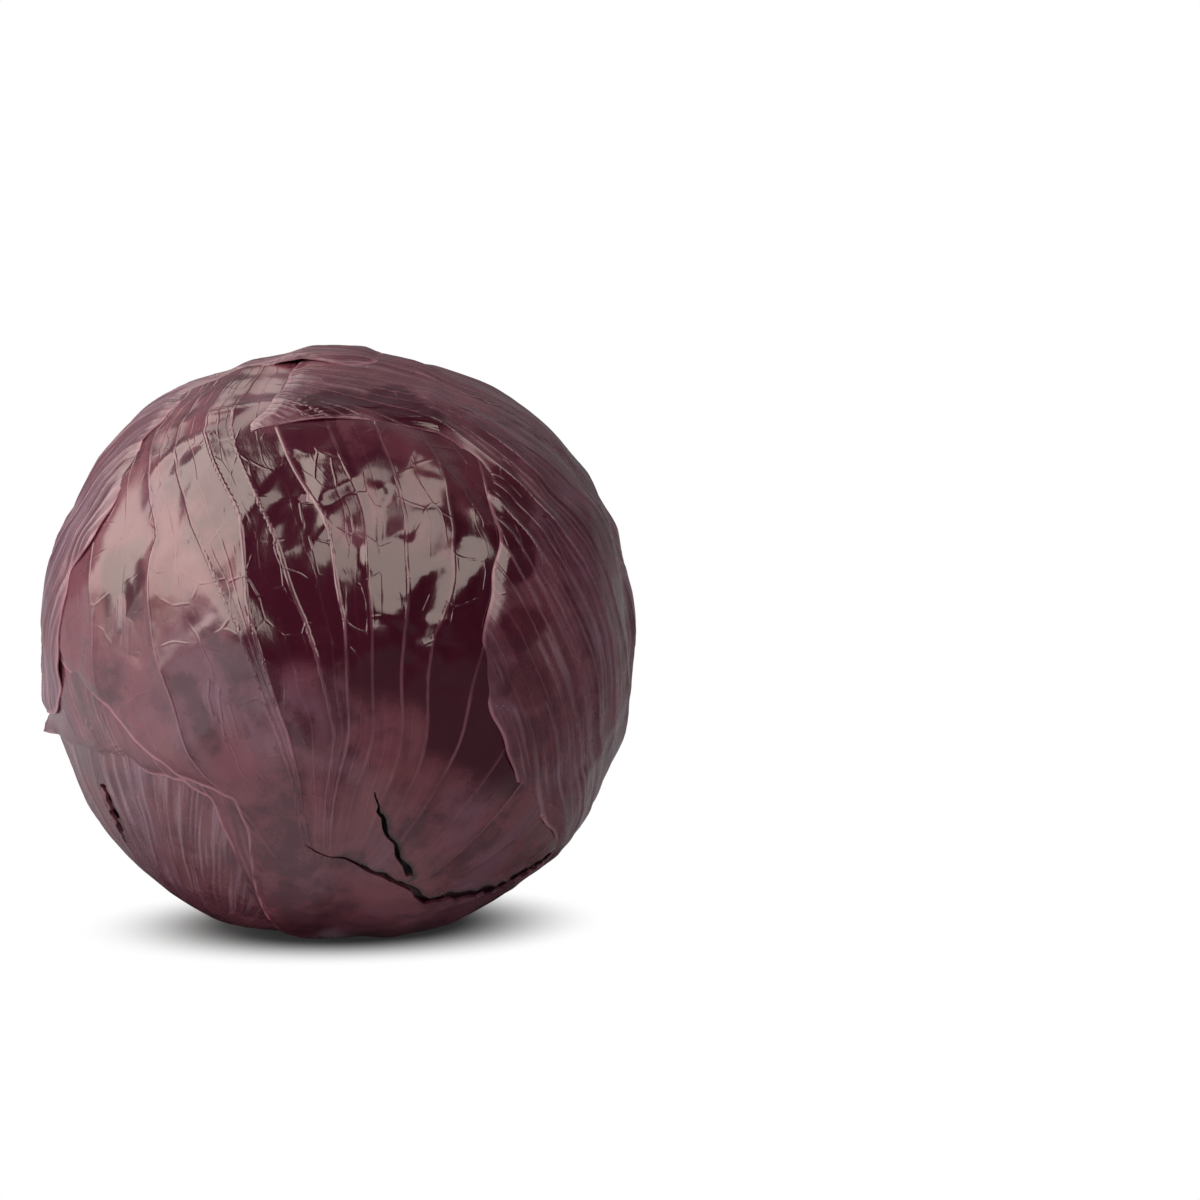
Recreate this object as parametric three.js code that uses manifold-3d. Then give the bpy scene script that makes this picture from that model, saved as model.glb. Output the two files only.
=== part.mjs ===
// Red cabbage: one whole head standing on its cut stem.
// Millimetres, +Z up, origin at the middle of the stem's cut face.
//
// The head is a packed heart of young leaves with twelve wrapper leaves laid over it, one
// outside another. Every leaf starts at the stem and cups the head, so its place is given as
// directions seen from the head's centre: azimuth 0 faces the front (-Y), 90 the right (+X).
import * as THREE from 'three';
import { mergeVertices } from 'three/addons/utils/BufferGeometryUtils.js';
import Module from 'manifold-3d';

// Head
const HEAD_CENTRE_HEIGHT = 77;
const HEART_RADIUS = 72.5;
const UNDERSIDE_HEIGHT = 0.4;     // lowest leaf base above the surface
const UNDERSIDE_ROUNDING = 6;     // how softly the round side turns into the flat underside
const FACET_DETAIL = 6;           // all layers share the facets of one ball, so they nest

// Wrapper leaves
const LEAF_THICKNESS = 1;
const LAYER_PITCH = 1.4;          // leaf thickness and the air under it
const MARGIN_COVER = 15;          // an outer leaf keeps clear of an inner margin this far past it
const MARGIN_RAMP = 12;           // and settles back onto the layer below over this distance
const WIDEST_STEP = 10;           // degrees between outline points
const MARGIN_SAMPLES = 2;         // degrees between the samples a margin's distance is taken from
const CUTTER_REACH = 180;         // how far the cone that cuts out a leaf runs from the centre

// Stem: a cone that points at the head's centre, so every leaf base keeps the same gap to it
const STEM_RADIUS = 16.5;
const STEM_HEIGHT = 33;
const STEM_EDGE = 1.2;
const STEM_SIDES = 30;
const STEM_WAVE = 0.035;          // how far the stem is from round, as a share of its radius
const POCKET_GAP = 0.8;           // air between the stem and the heart
const LEAF_BASE_ANGLE = 13.2;     // degrees from straight down to where the leaf bases end

const LEAF_COLOUR = 0x4b1928;
const VEINED_LEAF_COLOUR = 0x5a2436;
const HEART_COLOUR = 0x5e2a4a;
const STEM_COLOUR = 0xf0dfc0;

// Inner to outer. An outline is the leaf's reach in degrees, from its middle, at each angle
// around it: 0 is up, 90 to the right seen from outside, 180 straight down to the stem.
const WRAPPER_LEAVES = [
  {
    name: 'inner_back_leaf', azimuth: 175, elevation: 25, colour: LEAF_COLOUR,
    outline: [[0, 75], [45, 72], [90, 70], [135, 60], [165, 82], [180, 110],
      [195, 82], [225, 60], [270, 70], [315, 72]],
  },
  {
    name: 'inner_left_leaf', azimuth: -65, elevation: 25, colour: LEAF_COLOUR,
    outline: [[0, 75], [45, 72], [90, 70], [135, 60], [165, 82], [180, 110],
      [195, 82], [225, 60], [270, 70], [315, 72]],
  },
  {
    name: 'inner_right_leaf', azimuth: 55, elevation: 25, colour: LEAF_COLOUR,
    outline: [[0, 75], [45, 72], [90, 70], [135, 60], [165, 82], [180, 110],
      [195, 82], [225, 60], [270, 70], [315, 72]],
  },
  {
    name: 'lower_back_left_leaf', azimuth: -135, elevation: -12, colour: LEAF_COLOUR,
    outline: [[0, 50], [40, 56], [80, 52], [120, 44], [150, 48], [168, 60], [180, 72],
      [192, 60], [210, 48], [240, 46], [280, 52], [320, 54]],
  },
  {
    name: 'lower_back_right_leaf', azimuth: 140, elevation: -14, colour: LEAF_COLOUR,
    outline: [[0, 52], [40, 54], [80, 50], [120, 44], [150, 48], [168, 58], [180, 70],
      [192, 58], [210, 48], [240, 46], [280, 54], [320, 56]],
  },
  {
    name: 'lower_right_leaf', azimuth: 62, elevation: -22, colour: LEAF_COLOUR,
    outline: [[0, 48], [40, 52], [80, 52], [120, 44], [150, 46], [168, 52], [180, 62],
      [192, 52], [210, 46], [240, 44], [280, 50], [320, 52]],
  },
  {
    name: 'lower_left_leaf', azimuth: -70, elevation: -24, colour: LEAF_COLOUR,
    outline: [[0, 46], [40, 54], [80, 62], [110, 56], [140, 50], [165, 52], [180, 60],
      [195, 50], [220, 44], [250, 46], [280, 50], [320, 48]],
  },
  {
    name: 'pointed_leaf', azimuth: -20, elevation: 0, colour: LEAF_COLOUR,
    outline: [[0, 55], [45, 55], [90, 52], [135, 52], [160, 66], [172, 76], [180, 84],
      [183, 60], [188, 34], [198, 24], [210, 23.5], [235, 31], [244, 45], [251, 63],
      [254, 73], [258, 63], [264, 56], [280, 54], [315, 55]],
  },
  {
    name: 'back_leaf', azimuth: 172, elevation: 12, colour: VEINED_LEAF_COLOUR,
    outline: [[0, 68], [40, 66], [80, 60], [120, 54], [150, 62], [168, 84], [180, 96],
      [192, 84], [210, 62], [240, 54], [280, 62], [320, 66]],
  },
  {
    name: 'front_leaf', azimuth: -5, elevation: 5, colour: VEINED_LEAF_COLOUR,
    outline: [[0, 80], [30, 74], [60, 74], [80, 76], [105, 78], [132, 84], [150, 76],
      [165, 80], [180, 88], [186, 78], [196, 52], [203, 36], [212, 32], [224, 34],
      [242, 40], [255, 44], [260, 50], [268, 60], [277, 68], [300, 74], [330, 80]],
  },
  {
    name: 'right_leaf', azimuth: 105, elevation: 15, colour: VEINED_LEAF_COLOUR,
    outline: [[0, 74], [30, 66], [70, 56], [110, 50], [140, 54], [165, 84], [180, 98],
      [190, 88], [210, 66], [235, 73], [253, 78], [268, 79], [284, 72], [294, 66],
      [305, 63], [314, 66], [319, 74], [323.6, 86], [326.4, 96], [328, 103.5],
      [330, 101], [333, 96.5], [340, 91], [347, 87.5]],
  },
  {
    name: 'left_leaf', azimuth: -110, elevation: 18, colour: VEINED_LEAF_COLOUR,
    outline: [[10, 84], [14, 80], [17, 60], [24, 48], [40, 50], [72, 50], [84, 46],
      [97, 46], [107, 48], [122, 47], [132, 43], [142, 37], [152, 36], [162, 46],
      [172, 80], [180, 100], [190, 86], [210, 54], [240, 48], [280, 56], [320, 66],
      [350, 76]],
  },
];

const DEGREE = Math.PI / 180;
const FULL_TURN = 360;
const DOWN = new THREE.Vector3(0, 0, -1);

function smoothStep(value) {
  const t = THREE.MathUtils.clamp(value, 0, 1);
  return t * t * (3 - 2 * t);
}

// The smaller of two numbers, rounded off where they are within `width` of each other.
function softMinimum(a, b, width) {
  const blend = Math.max(0, 1 - Math.abs(a - b) / width);
  return Math.min(a, b) - (width / 4) * blend * blend;
}

function directionOf(azimuth, elevation) {
  const level = Math.cos(elevation * DEGREE);
  return new THREE.Vector3(
    level * Math.sin(azimuth * DEGREE),
    -level * Math.cos(azimuth * DEGREE),
    Math.sin(elevation * DEGREE),
  );
}

// A leaf's middle, and the directions that are up and right there.
function axesOf(leaf) {
  const middle = directionOf(leaf.azimuth, leaf.elevation);
  const up = directionOf(leaf.azimuth, leaf.elevation + 90);
  const right = new THREE.Vector3().crossVectors(up, middle);
  return { middle, up, right };
}

// The direction at an angle around the leaf's middle and a distance from it, both in degrees.
function directionAt(axes, angle, distance) {
  const side = Math.sin(distance * DEGREE);
  return axes.middle.clone().multiplyScalar(Math.cos(distance * DEGREE))
    .addScaledVector(axes.up, side * Math.cos(angle * DEGREE))
    .addScaledVector(axes.right, side * Math.sin(angle * DEGREE));
}

// The slope at an outline point: the harmonic mean of the slopes on both sides, and level at a
// turning point, so the curve never swings past its points.
function outlineSlope(before, here, after) {
  const back = (here[1] - before[1]) / (here[0] - before[0]);
  const ahead = (after[1] - here[1]) / (after[0] - here[0]);
  return back * ahead > 0 ? (2 * back * ahead) / (back + ahead) : 0;
}

// Closes the outline: each of its points with its slope, and the first one again a turn later.
function outlineKnots(outline) {
  const count = outline.length;
  const point = (index) => {
    const turns = Math.floor(index / count);
    const [angle, reach] = outline[index - turns * count];
    return [angle + turns * FULL_TURN, reach];
  };
  return Array.from({ length: count + 1 }, (_, index) => {
    const [angle, reach] = point(index);
    return { angle, reach, slope: outlineSlope(point(index - 1), point(index), point(index + 1)) };
  });
}

// The outline's reach at any angle, by a cubic between the two points beside it.
function outlineReach(knots, angle) {
  const start = knots[0].angle;
  const turned = THREE.MathUtils.euclideanModulo(angle - start, FULL_TURN) + start;
  const next = Math.max(1, knots.findIndex((knot) => knot.angle > turned));
  const [from, to] = [knots[next - 1], knots[next]];
  const span = to.angle - from.angle;
  const t = (turned - from.angle) / span;
  const ease = smoothStep(t);
  return from.reach * (1 - ease) + to.reach * ease
    + span * t * (1 - t) * (from.slope * (1 - t) - to.slope * t);
}

// How far a leaf reaches before it meets the stem: where the great circle from its middle
// enters the cone around straight down.
function reachToStem(leaf, angle) {
  const toBottom = (leaf.elevation + 90) * DEGREE;
  const along = Math.cos(toBottom);
  const across = -Math.sin(toBottom) * Math.cos(angle * DEGREE);
  const nearness = Math.cos(LEAF_BASE_ANGLE * DEGREE) / Math.hypot(along, across);
  if (nearness >= 1) return Infinity;
  const entry = (Math.atan2(across, along) - Math.acos(nearness)) / DEGREE;
  return THREE.MathUtils.euclideanModulo(entry, FULL_TURN);
}

function prepareLeaf(leaf) {
  const axes = axesOf(leaf);
  const knots = outlineKnots(leaf.outline);
  const reachAt = (angle) => Math.min(outlineReach(knots, angle), reachToStem(leaf, angle));
  const margin = [];
  for (let angle = 0; angle < FULL_TURN; angle += MARGIN_SAMPLES) {
    margin.push(directionAt(axes, angle, reachAt(angle)));
  }
  return { ...leaf, axes, knots, reachAt, margin };
}

const wasm = await Module();
wasm.setup();

const leaves = WRAPPER_LEAVES.map(prepareLeaf);

// How far a direction is inside a leaf's margin, in millimetres on the heart; negative outside.
function insideMargin(leaf, direction) {
  const { middle, up, right } = leaf.axes;
  const angle = Math.atan2(direction.dot(right), direction.dot(up)) / DEGREE;
  const distance = direction.angleTo(middle) / DEGREE;
  const nearest = Math.max(...leaf.margin.map((sample) => sample.dot(direction)));
  const gap = Math.acos(Math.min(1, nearest)) * HEART_RADIUS;
  return distance < leaf.reachAt(angle) ? gap : -gap;
}

// 1 where a leaf lies under its outer neighbours, easing to 0 well outside its margin.
function coverOf(leaf, direction) {
  const outside = -insideMargin(leaf, direction) - MARGIN_COVER;
  return smoothStep(1 - outside / MARGIN_RAMP);
}

// The facets that every layer shares: directions, each with the cover of every leaf there.
function sharedFacets() {
  const ball = new THREE.IcosahedronGeometry(1, FACET_DETAIL);
  ball.deleteAttribute('normal');
  ball.deleteAttribute('uv');
  const merged = mergeVertices(ball);
  const { position } = merged.attributes;
  const directions = Array.from({ length: position.count }, (_, index) => (
    new THREE.Vector3().fromBufferAttribute(position, index).normalize()));
  const covers = directions.map((direction) => leaves.map((leaf) => coverOf(leaf, direction)));
  return { directions, covers, triangles: Array.from(merged.index.array) };
}

const facets = sharedFacets();

// Distance from the head's centre to the inner face of the layer with this order. The layers
// inside it lift it off the heart, and the layers outside it hold it above the flat underside.
function layerRadius(order, direction, covers) {
  const inner = covers.slice(0, order).reduce((sum, cover) => sum + cover, 0);
  const lifted = HEART_RADIUS + LAYER_PITCH * inner;
  const downward = direction.dot(DOWN);
  if (downward <= 0) return lifted;
  const outer = covers.slice(order).reduce((sum, cover) => sum + cover, 0);
  const underside = HEAD_CENTRE_HEIGHT - UNDERSIDE_HEIGHT - LAYER_PITCH * outer;
  return softMinimum(lifted, underside / downward, UNDERSIDE_ROUNDING);
}

function solidFrom(points, triangles) {
  return new wasm.Manifold(new wasm.Mesh({
    numProp: 3,
    vertProperties: new Float32Array(points.flatMap((point) => point.toArray())),
    triVerts: new Uint32Array(triangles),
  }));
}

// Everything within one face of a layer: its inner face, or with `growth` a surface off it.
function layerSolid(order, growth) {
  const points = facets.directions.map((direction, index) => {
    const radius = layerRadius(order, direction, facets.covers[index]) + growth;
    const point = direction.clone().multiplyScalar(radius);
    point.z += HEAD_CENTRE_HEIGHT;
    return point;
  });
  return solidFrom(points, facets.triangles);
}

// The outline's own points, with evenly spaced ones between them.
function outlineAngles(knots) {
  const angles = [];
  for (let index = 1; index < knots.length; index += 1) {
    const [from, to] = [knots[index - 1].angle, knots[index].angle];
    const steps = Math.ceil((to - from) / WIDEST_STEP);
    for (let step = 0; step < steps; step += 1) {
      angles.push(from + ((to - from) * step) / steps);
    }
  }
  return angles;
}

// The cone from the head's centre through a leaf's outline, closed by a cap beyond the head.
function leafCutter(leaf) {
  const rim = outlineAngles(leaf.knots).map((angle) => (
    directionAt(leaf.axes, angle, leaf.reachAt(angle)).multiplyScalar(CUTTER_REACH)));
  const cap = leaf.axes.middle.clone().multiplyScalar(CUTTER_REACH);
  const points = [new THREE.Vector3(), cap, ...rim];
  points.forEach((point) => { point.z += HEAD_CENTRE_HEIGHT; });
  const triangles = rim.flatMap((_, side) => {
    const here = 2 + side;
    const next = 2 + (side + 1) % rim.length;
    return [0, here, next, 1, next, here];
  });
  return solidFrom(points, triangles);
}

function leafSolid(leaf, order) {
  return layerSolid(order, LEAF_THICKNESS).intersect(leafCutter(leaf)).subtract(layerSolid(order, 0));
}

// The stem's radius at a height and azimuth: a slightly uneven cone.
function stemRadius(height, azimuth) {
  const wave = (Math.cos(2 * azimuth + 0.6) + 0.5 * Math.cos(3 * azimuth) - 1.5) / 1.5;
  const taper = (HEAD_CENTRE_HEIGHT - height) / HEAD_CENTRE_HEIGHT;
  return STEM_RADIUS * taper * (1 + STEM_WAVE * wave);
}

// A flat cut face with a worn edge, the taper and a blunt top, all grown by a distance.
function stemSolid(growth) {
  const ring = (height, inset) => Array.from({ length: STEM_SIDES }, (_, side) => {
    const azimuth = (2 * Math.PI * side) / STEM_SIDES;
    const radius = stemRadius(height, azimuth) + growth - inset;
    return new THREE.Vector3(radius * Math.cos(azimuth), radius * Math.sin(azimuth), height);
  });
  const bottom = -growth;
  const top = STEM_HEIGHT + growth;
  const rings = [
    ring(bottom, STEM_EDGE),
    ring(bottom + STEM_EDGE, 0),
    ring(top - STEM_EDGE, 0),
    ring(top, STEM_EDGE),
  ];
  const points = [new THREE.Vector3(0, 0, bottom), ...rings.flat(), new THREE.Vector3(0, 0, top)];
  const triangles = [];
  for (let side = 0; side < STEM_SIDES; side += 1) {
    const next = (side + 1) % STEM_SIDES;
    triangles.push(0, 1 + next, 1 + side);
    for (let row = 1; row < rings.length; row += 1) {
      const below = 1 + (row - 1) * STEM_SIDES;
      const above = below + STEM_SIDES;
      triangles.push(below + side, below + next, above + next);
      triangles.push(below + side, above + next, above + side);
    }
    const last = 1 + (rings.length - 1) * STEM_SIDES;
    triangles.push(last + side, last + next, points.length - 1);
  }
  return solidFrom(points, triangles);
}

// The packed heart fills the space under the first layer, with a pocket for the stem.
function heartSolid() {
  return layerSolid(0, LEAF_THICKNESS - LAYER_PITCH).subtract(stemSolid(POCKET_GAP));
}

function namedMesh(name, solid, colour, roughness) {
  const { vertProperties, triVerts } = solid.getMesh();
  const geometry = new THREE.BufferGeometry();
  geometry.setAttribute('position', new THREE.BufferAttribute(vertProperties, 3));
  geometry.setIndex(new THREE.BufferAttribute(triVerts, 1));
  geometry.computeVertexNormals();
  const material = new THREE.MeshStandardMaterial({ color: colour, roughness, metalness: 0 });
  const mesh = new THREE.Mesh(geometry, material);
  mesh.name = name;
  return mesh;
}

const cabbage = new THREE.Group();
cabbage.add(namedMesh('stem', stemSolid(0), STEM_COLOUR, 0.8));
cabbage.add(namedMesh('packed_heart', heartSolid(), HEART_COLOUR, 0.5));
leaves.forEach((leaf, order) => {
  cabbage.add(namedMesh(leaf.name, leafSolid(leaf, order), leaf.colour, 0.35));
});

export default cabbage;
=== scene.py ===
"""A whole red cabbage: twelve wrapper leaves over a packed heart, standing on its cut stem.

Every leaf is worked out as directions seen from the head's centre. Azimuth 0 faces the front
(-Y) and 90 the right (+X). Lengths inside the functions are in millimetres, angles in degrees,
and the finished meshes are in metres.
"""

import math

import bpy
import numpy as np
from bpy.props import FloatProperty, FloatVectorProperty, IntProperty, PointerProperty
from mathutils import Euler, Matrix, Vector


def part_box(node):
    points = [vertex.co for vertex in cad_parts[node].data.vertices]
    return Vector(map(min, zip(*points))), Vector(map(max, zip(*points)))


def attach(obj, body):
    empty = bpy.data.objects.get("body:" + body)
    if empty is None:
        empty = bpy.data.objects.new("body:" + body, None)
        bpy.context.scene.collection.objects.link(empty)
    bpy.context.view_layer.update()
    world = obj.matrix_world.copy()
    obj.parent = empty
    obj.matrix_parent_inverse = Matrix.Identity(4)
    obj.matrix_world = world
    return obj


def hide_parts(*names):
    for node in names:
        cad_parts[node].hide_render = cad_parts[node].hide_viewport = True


bl_info = {
    "name": "Red Cabbage",
    "version": (1, 0, 0),
    "blender": (4, 5, 0),
    "location": "3D View > Sidebar > Cabbage",
    "description": "Builds a red cabbage from wrapper leaves, a packed heart and a cut stem",
    "category": "Add Mesh",
}

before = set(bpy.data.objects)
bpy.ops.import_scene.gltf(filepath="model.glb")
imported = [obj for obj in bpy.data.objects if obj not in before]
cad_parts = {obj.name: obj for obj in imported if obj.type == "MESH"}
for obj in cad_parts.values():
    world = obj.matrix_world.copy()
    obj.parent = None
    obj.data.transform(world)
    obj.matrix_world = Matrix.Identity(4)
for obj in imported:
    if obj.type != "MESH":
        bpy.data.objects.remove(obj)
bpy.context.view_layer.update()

MM = 0.001
FULL_TURN = 360.0
LEAF_BASE_ANGLE = 12.4        # degrees from straight down to where the leaf bases end
TABLE_STEP = 0.5              # degrees between the entries of an outline's table
MARGIN_STEP = 2               # table entries between the samples that covers are measured from
UNDERSIDE_ROUNDING = 6.0      # how softly the round side turns into the flat underside
FACET_COUNT = 900             # flat cells all over a head
COVER_OFFSET = 1.2            # an outer leaf stays up this far past an inner margin
COVER_RAMP = 9.0              # and comes down to the layer below over this distance
FLAT_TOP = 2.6                # how much lower the head's top is than a ball's
FULL_BASE = 2.4               # how much fuller it is towards its underside
SHOULDERS = 1.8               # how far it stands out at the left and right, 45 degrees up and down
TEAR_SINK = 4.0               # how deep a leaf sinks under a tear in an outer one
HEART_TEAR_SINK = 3.0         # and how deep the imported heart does
STEM_WAVE = 0.035             # how far the stem is from round, as a share of its radius
STEM_BEVEL = 0.9              # how far the worn edges of the stem stand in
GOLDEN_ANGLE = math.pi * (3.0 - math.sqrt(5.0))

# Ripples all round a margin: how many, and their height in degrees.
RIPPLES = ((7, 0.35), (11, 0.3), (17, 0.28), (29, 0.2), (43, 0.12))
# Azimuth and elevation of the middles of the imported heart's young leaves.
HEART_LEAVES = ((20, 50), (140, 45), (260, 55), (80, 20), (200, 15), (320, 18))

# An outline is the leaf's reach in degrees, from its middle, at each angle around it: 0 is up,
# 90 to the right seen from outside, 180 straight down to the stem. `grid` is the number of
# points each way, `rise` how far from straight down the ribs part, `fan` the angle between two
# ribs there and `lean` how many degrees a rib turns aside for each degree that it runs.
# `relief` scales the ribs, `rim_line` widens the margin's colour and `dusty` is how dull the
# bloom makes the leaf. `curl` is the place, height and width of a corner that is turned up.
INNER_LEAF = dict(
    elevation=25, grid=72, rise=32, fan=17, lean=0.0,
    outline=((0, 75), (45, 72), (90, 70), (135, 60), (165, 82), (180, 110), (195, 82),
             (225, 60), (270, 70), (315, 72)),
)
LEAVES = (              # inner to outer
    dict(INNER_LEAF, node="inner_back_leaf", azimuth=175),
    dict(INNER_LEAF, node="inner_left_leaf", azimuth=-65),
    dict(INNER_LEAF, node="inner_right_leaf", azimuth=55),
    dict(
        node="lower_back_left_leaf", azimuth=-135, elevation=-12, grid=104, rise=26, fan=13,
        lean=0.1,
        outline=((0, 50), (40, 56), (80, 52), (120, 44), (150, 48), (168, 60), (180, 72),
                 (192, 60), (210, 48), (240, 46), (280, 52), (320, 54)),
    ),
    dict(
        node="lower_back_right_leaf", azimuth=140, elevation=-14, grid=104, rise=26, fan=13,
        lean=-0.1,
        outline=((0, 52), (40, 54), (80, 50), (120, 44), (150, 48), (168, 58), (180, 70),
                 (192, 58), (210, 48), (240, 46), (280, 54), (320, 56)),
    ),
    dict(
        node="lower_right_leaf", azimuth=62, elevation=-22, grid=112, rise=24, fan=12, lean=0.1,
        outline=((0, 48), (40, 52), (80, 52), (120, 44), (150, 46), (168, 52), (180, 62),
                 (192, 52), (210, 46), (240, 44), (280, 50), (320, 52)),
    ),
    dict(
        node="lower_left_leaf", azimuth=-70, elevation=-24, grid=124, rise=24, fan=10, lean=0.0,
        outline=((0, 46), (40, 54), (80, 62), (110, 56), (140, 50), (165, 52), (180, 60),
                 (195, 50), (220, 44), (250, 46), (280, 50), (320, 48)),
        tears=((((88, 8), 0.1), ((100, 9), 1.2), ((121, 10), 1.6), ((143, 12), 1.4),
                ((159, 15), 0.1)),),
        dusty=0.45,
    ),
    dict(
        node="pointed_leaf", azimuth=-20, elevation=0, grid=132, rise=28, fan=11, lean=-0.1,
        outline=((0, 55), (45, 55), (90, 52), (135, 52), (160, 66), (172, 76), (180, 84),
                 (183, 60), (188, 34), (198, 24), (210, 23.5), (235, 31), (244, 45),
                 (251, 63), (254, 73), (258, 63), (264, 56), (280, 54), (315, 55)),
        curl=((254, 72), 9.0, 13.0), dusty=0.37,
    ),
    dict(
        node="back_leaf", azimuth=172, elevation=12, grid=146, rise=36, fan=12, lean=0.12,
        outline=((0, 68), (40, 66), (80, 60), (120, 54), (150, 62), (168, 84), (180, 96),
                 (192, 84), (210, 62), (240, 54), (280, 62), (320, 66)),
    ),
    dict(
        node="front_leaf", azimuth=-5, elevation=5, grid=218, rise=42, fan=12, lean=0.0,
        relief=0.4,
        outline=((0, 80), (30, 74), (60, 74), (80, 76), (105, 78), (132, 84), (150, 76),
                 (165, 80), (180, 88), (186, 78), (196, 52), (203, 36), (212, 32), (224, 34),
                 (242, 40), (255, 44), (260, 50), (268, 60), (277, 68), (300, 74), (330, 80)),
        # Each row is one rib: its angle at 20, 40, 60, 80 and 100 degrees from where ribs part.
        ribs=((-138, -128, -120, -112, -104), (-112, -104, -96, -88, -80),
              (-86, -82, -76, -68, -60), (-62, -60, -56, -48, -42), (-33, -37, -35, -31, -34),
              (-9, -9.5, -14, -23, -28), (-7, -7, -11, -14, -21), (4, 5, -1, -10, -16),
              (7, 9, 7, 0, -8), (16, 16, 13, 8, 1), (28, 24, 20, 17, 10), (37, 31, 26, 26, 20),
              (45, 40, 38, 36, 30), (60, 53, 50, 46, 40), (74, 69, 63, 57, 50),
              (88, 86, 80, 72, 62), (112, 106, 98, 90, 80), (136, 128, 118, 110, 100)),
        strengths=(0.3, 0.3, 0.4, 0.7, 0.8, 0.8, 1.0, 0.7, 1.0, 0.4, 0.6, 0.5, 0.7, 0.5, 0.8,
                   0.4, 0.4, 0.3),
        heights=(0, 0, 0, 0.1, 0.25, 0.1, 0.55, 0.2, -0.5, -0.1, 0.15, 0.1, 0.3, -0.1, 0.2,
                 -0.1, 0, 0),
        # Bare patches: from rib to rib, from distance to distance, and how bare.
        bare=((6.0, 8.0, 51, 97, 1.0), (8.0, 11.0, 46, 74, 1.0), (8.0, 9.2, 78, 104, 0.9),
              (11.0, 14.0, 38, 84, 1.0), (3.2, 3.9, 66, 82, 0.8), (9.2, 14.0, 84, 110, 0.5)),
        crumpled=((8.0, 14.0, 52, 100, 1.0), (4.0, 6.0, 50, 100, 0.15)),
        tears=(
            (((185, 36), 0.1), ((170, 43), 0.6), ((162, 49), 0.9), ((158, 57), 1.3),
             ((152, 62), 2.0), ((144, 71), 2.6), ((137, 78), 3.0), ((131, 92), 3.2)),
            (((156, 27), 0.1), ((158, 33), 0.5), ((159, 42), 0.7), ((158.5, 49), 1.0)),
        ),
        creases=(
            (((-45, 50), 0.0), ((-41.9, 50.7), 0.9), ((-34, 52.1), 1.0), ((-27.1, 49.8), 0.6),
             ((-22, 48), 0.0)),
            (((-24, 44), 0.0), ((-20.2, 46.2), 1.0), ((-9.3, 55.5), 1.1), ((-7.5, 63.2), 0.7),
             ((-7, 68), 0.0)),
            (((-28, 54.6), 0.0), ((-25, 54.4), 0.8), ((-15.7, 54.1), 0.7), ((-11, 54), 0.0)),
            (((-20, 47.5), 0.0), ((-16.5, 47.8), 0.8), ((-5.6, 48.5), 0.5), ((0, 49), 0.0)),
        ),
    ),
    dict(
        node="right_leaf", azimuth=105, elevation=15, grid=168, rise=38, fan=9.0, lean=0.0,
        relief=0.9, dusty=0.42,
        outline=((0, 74), (30, 66), (70, 56), (110, 50), (140, 54), (165, 84), (180, 98),
                 (190, 88), (210, 66), (235, 73), (253, 78), (268, 79), (284, 72), (294, 66),
                 (305, 63), (314, 66), (319, 74), (323.6, 86), (326.4, 96), (328, 103.5),
                 (330, 101), (333, 96.5), (340, 91), (347, 87.5)),
        rubbed=(((330, 86), 7.5, 1.0), ((325, 73), 9.0, 1.0), ((302, 60), 9.0, 0.8),
                ((288, 66), 9.0, 0.9), ((275, 70), 8.0, 0.7), ((264, 70), 7.0, 0.6),
                ((316, 58), 6.0, 0.6)),
    ),
    dict(
        node="left_leaf", azimuth=-110, elevation=18, grid=168, rise=38, fan=6.8, lean=0.0,
        relief=1.3, rim_line=1.4, dusty=0.8,
        outline=((10, 84), (14, 80), (17, 60), (24, 48), (40, 50), (72, 50), (84, 46),
                 (97, 46), (107, 48), (122, 47), (132, 43), (142, 37), (152, 36), (162, 46),
                 (172, 80), (180, 100), (190, 86), (210, 54), (240, 48), (280, 56),
                 (320, 66), (350, 76)),
    ),
)


def length_setting(name, description, default, low, high):
    """A length in metres."""
    return FloatProperty(name=name, description=description, default=default, min=low,
                         max=high, unit="LENGTH")


def colour_setting(name, description, default):
    """A linear colour, as red, green and blue from 0 to 1."""
    return FloatVectorProperty(name=name, description=description, default=default,
                               subtype="COLOR", size=3, min=0.0, max=1.0)


def brightness_setting(name, description, default):
    """A brightness that isn't negative."""
    return FloatProperty(name=name, description=description, default=default, min=0.0)


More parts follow.
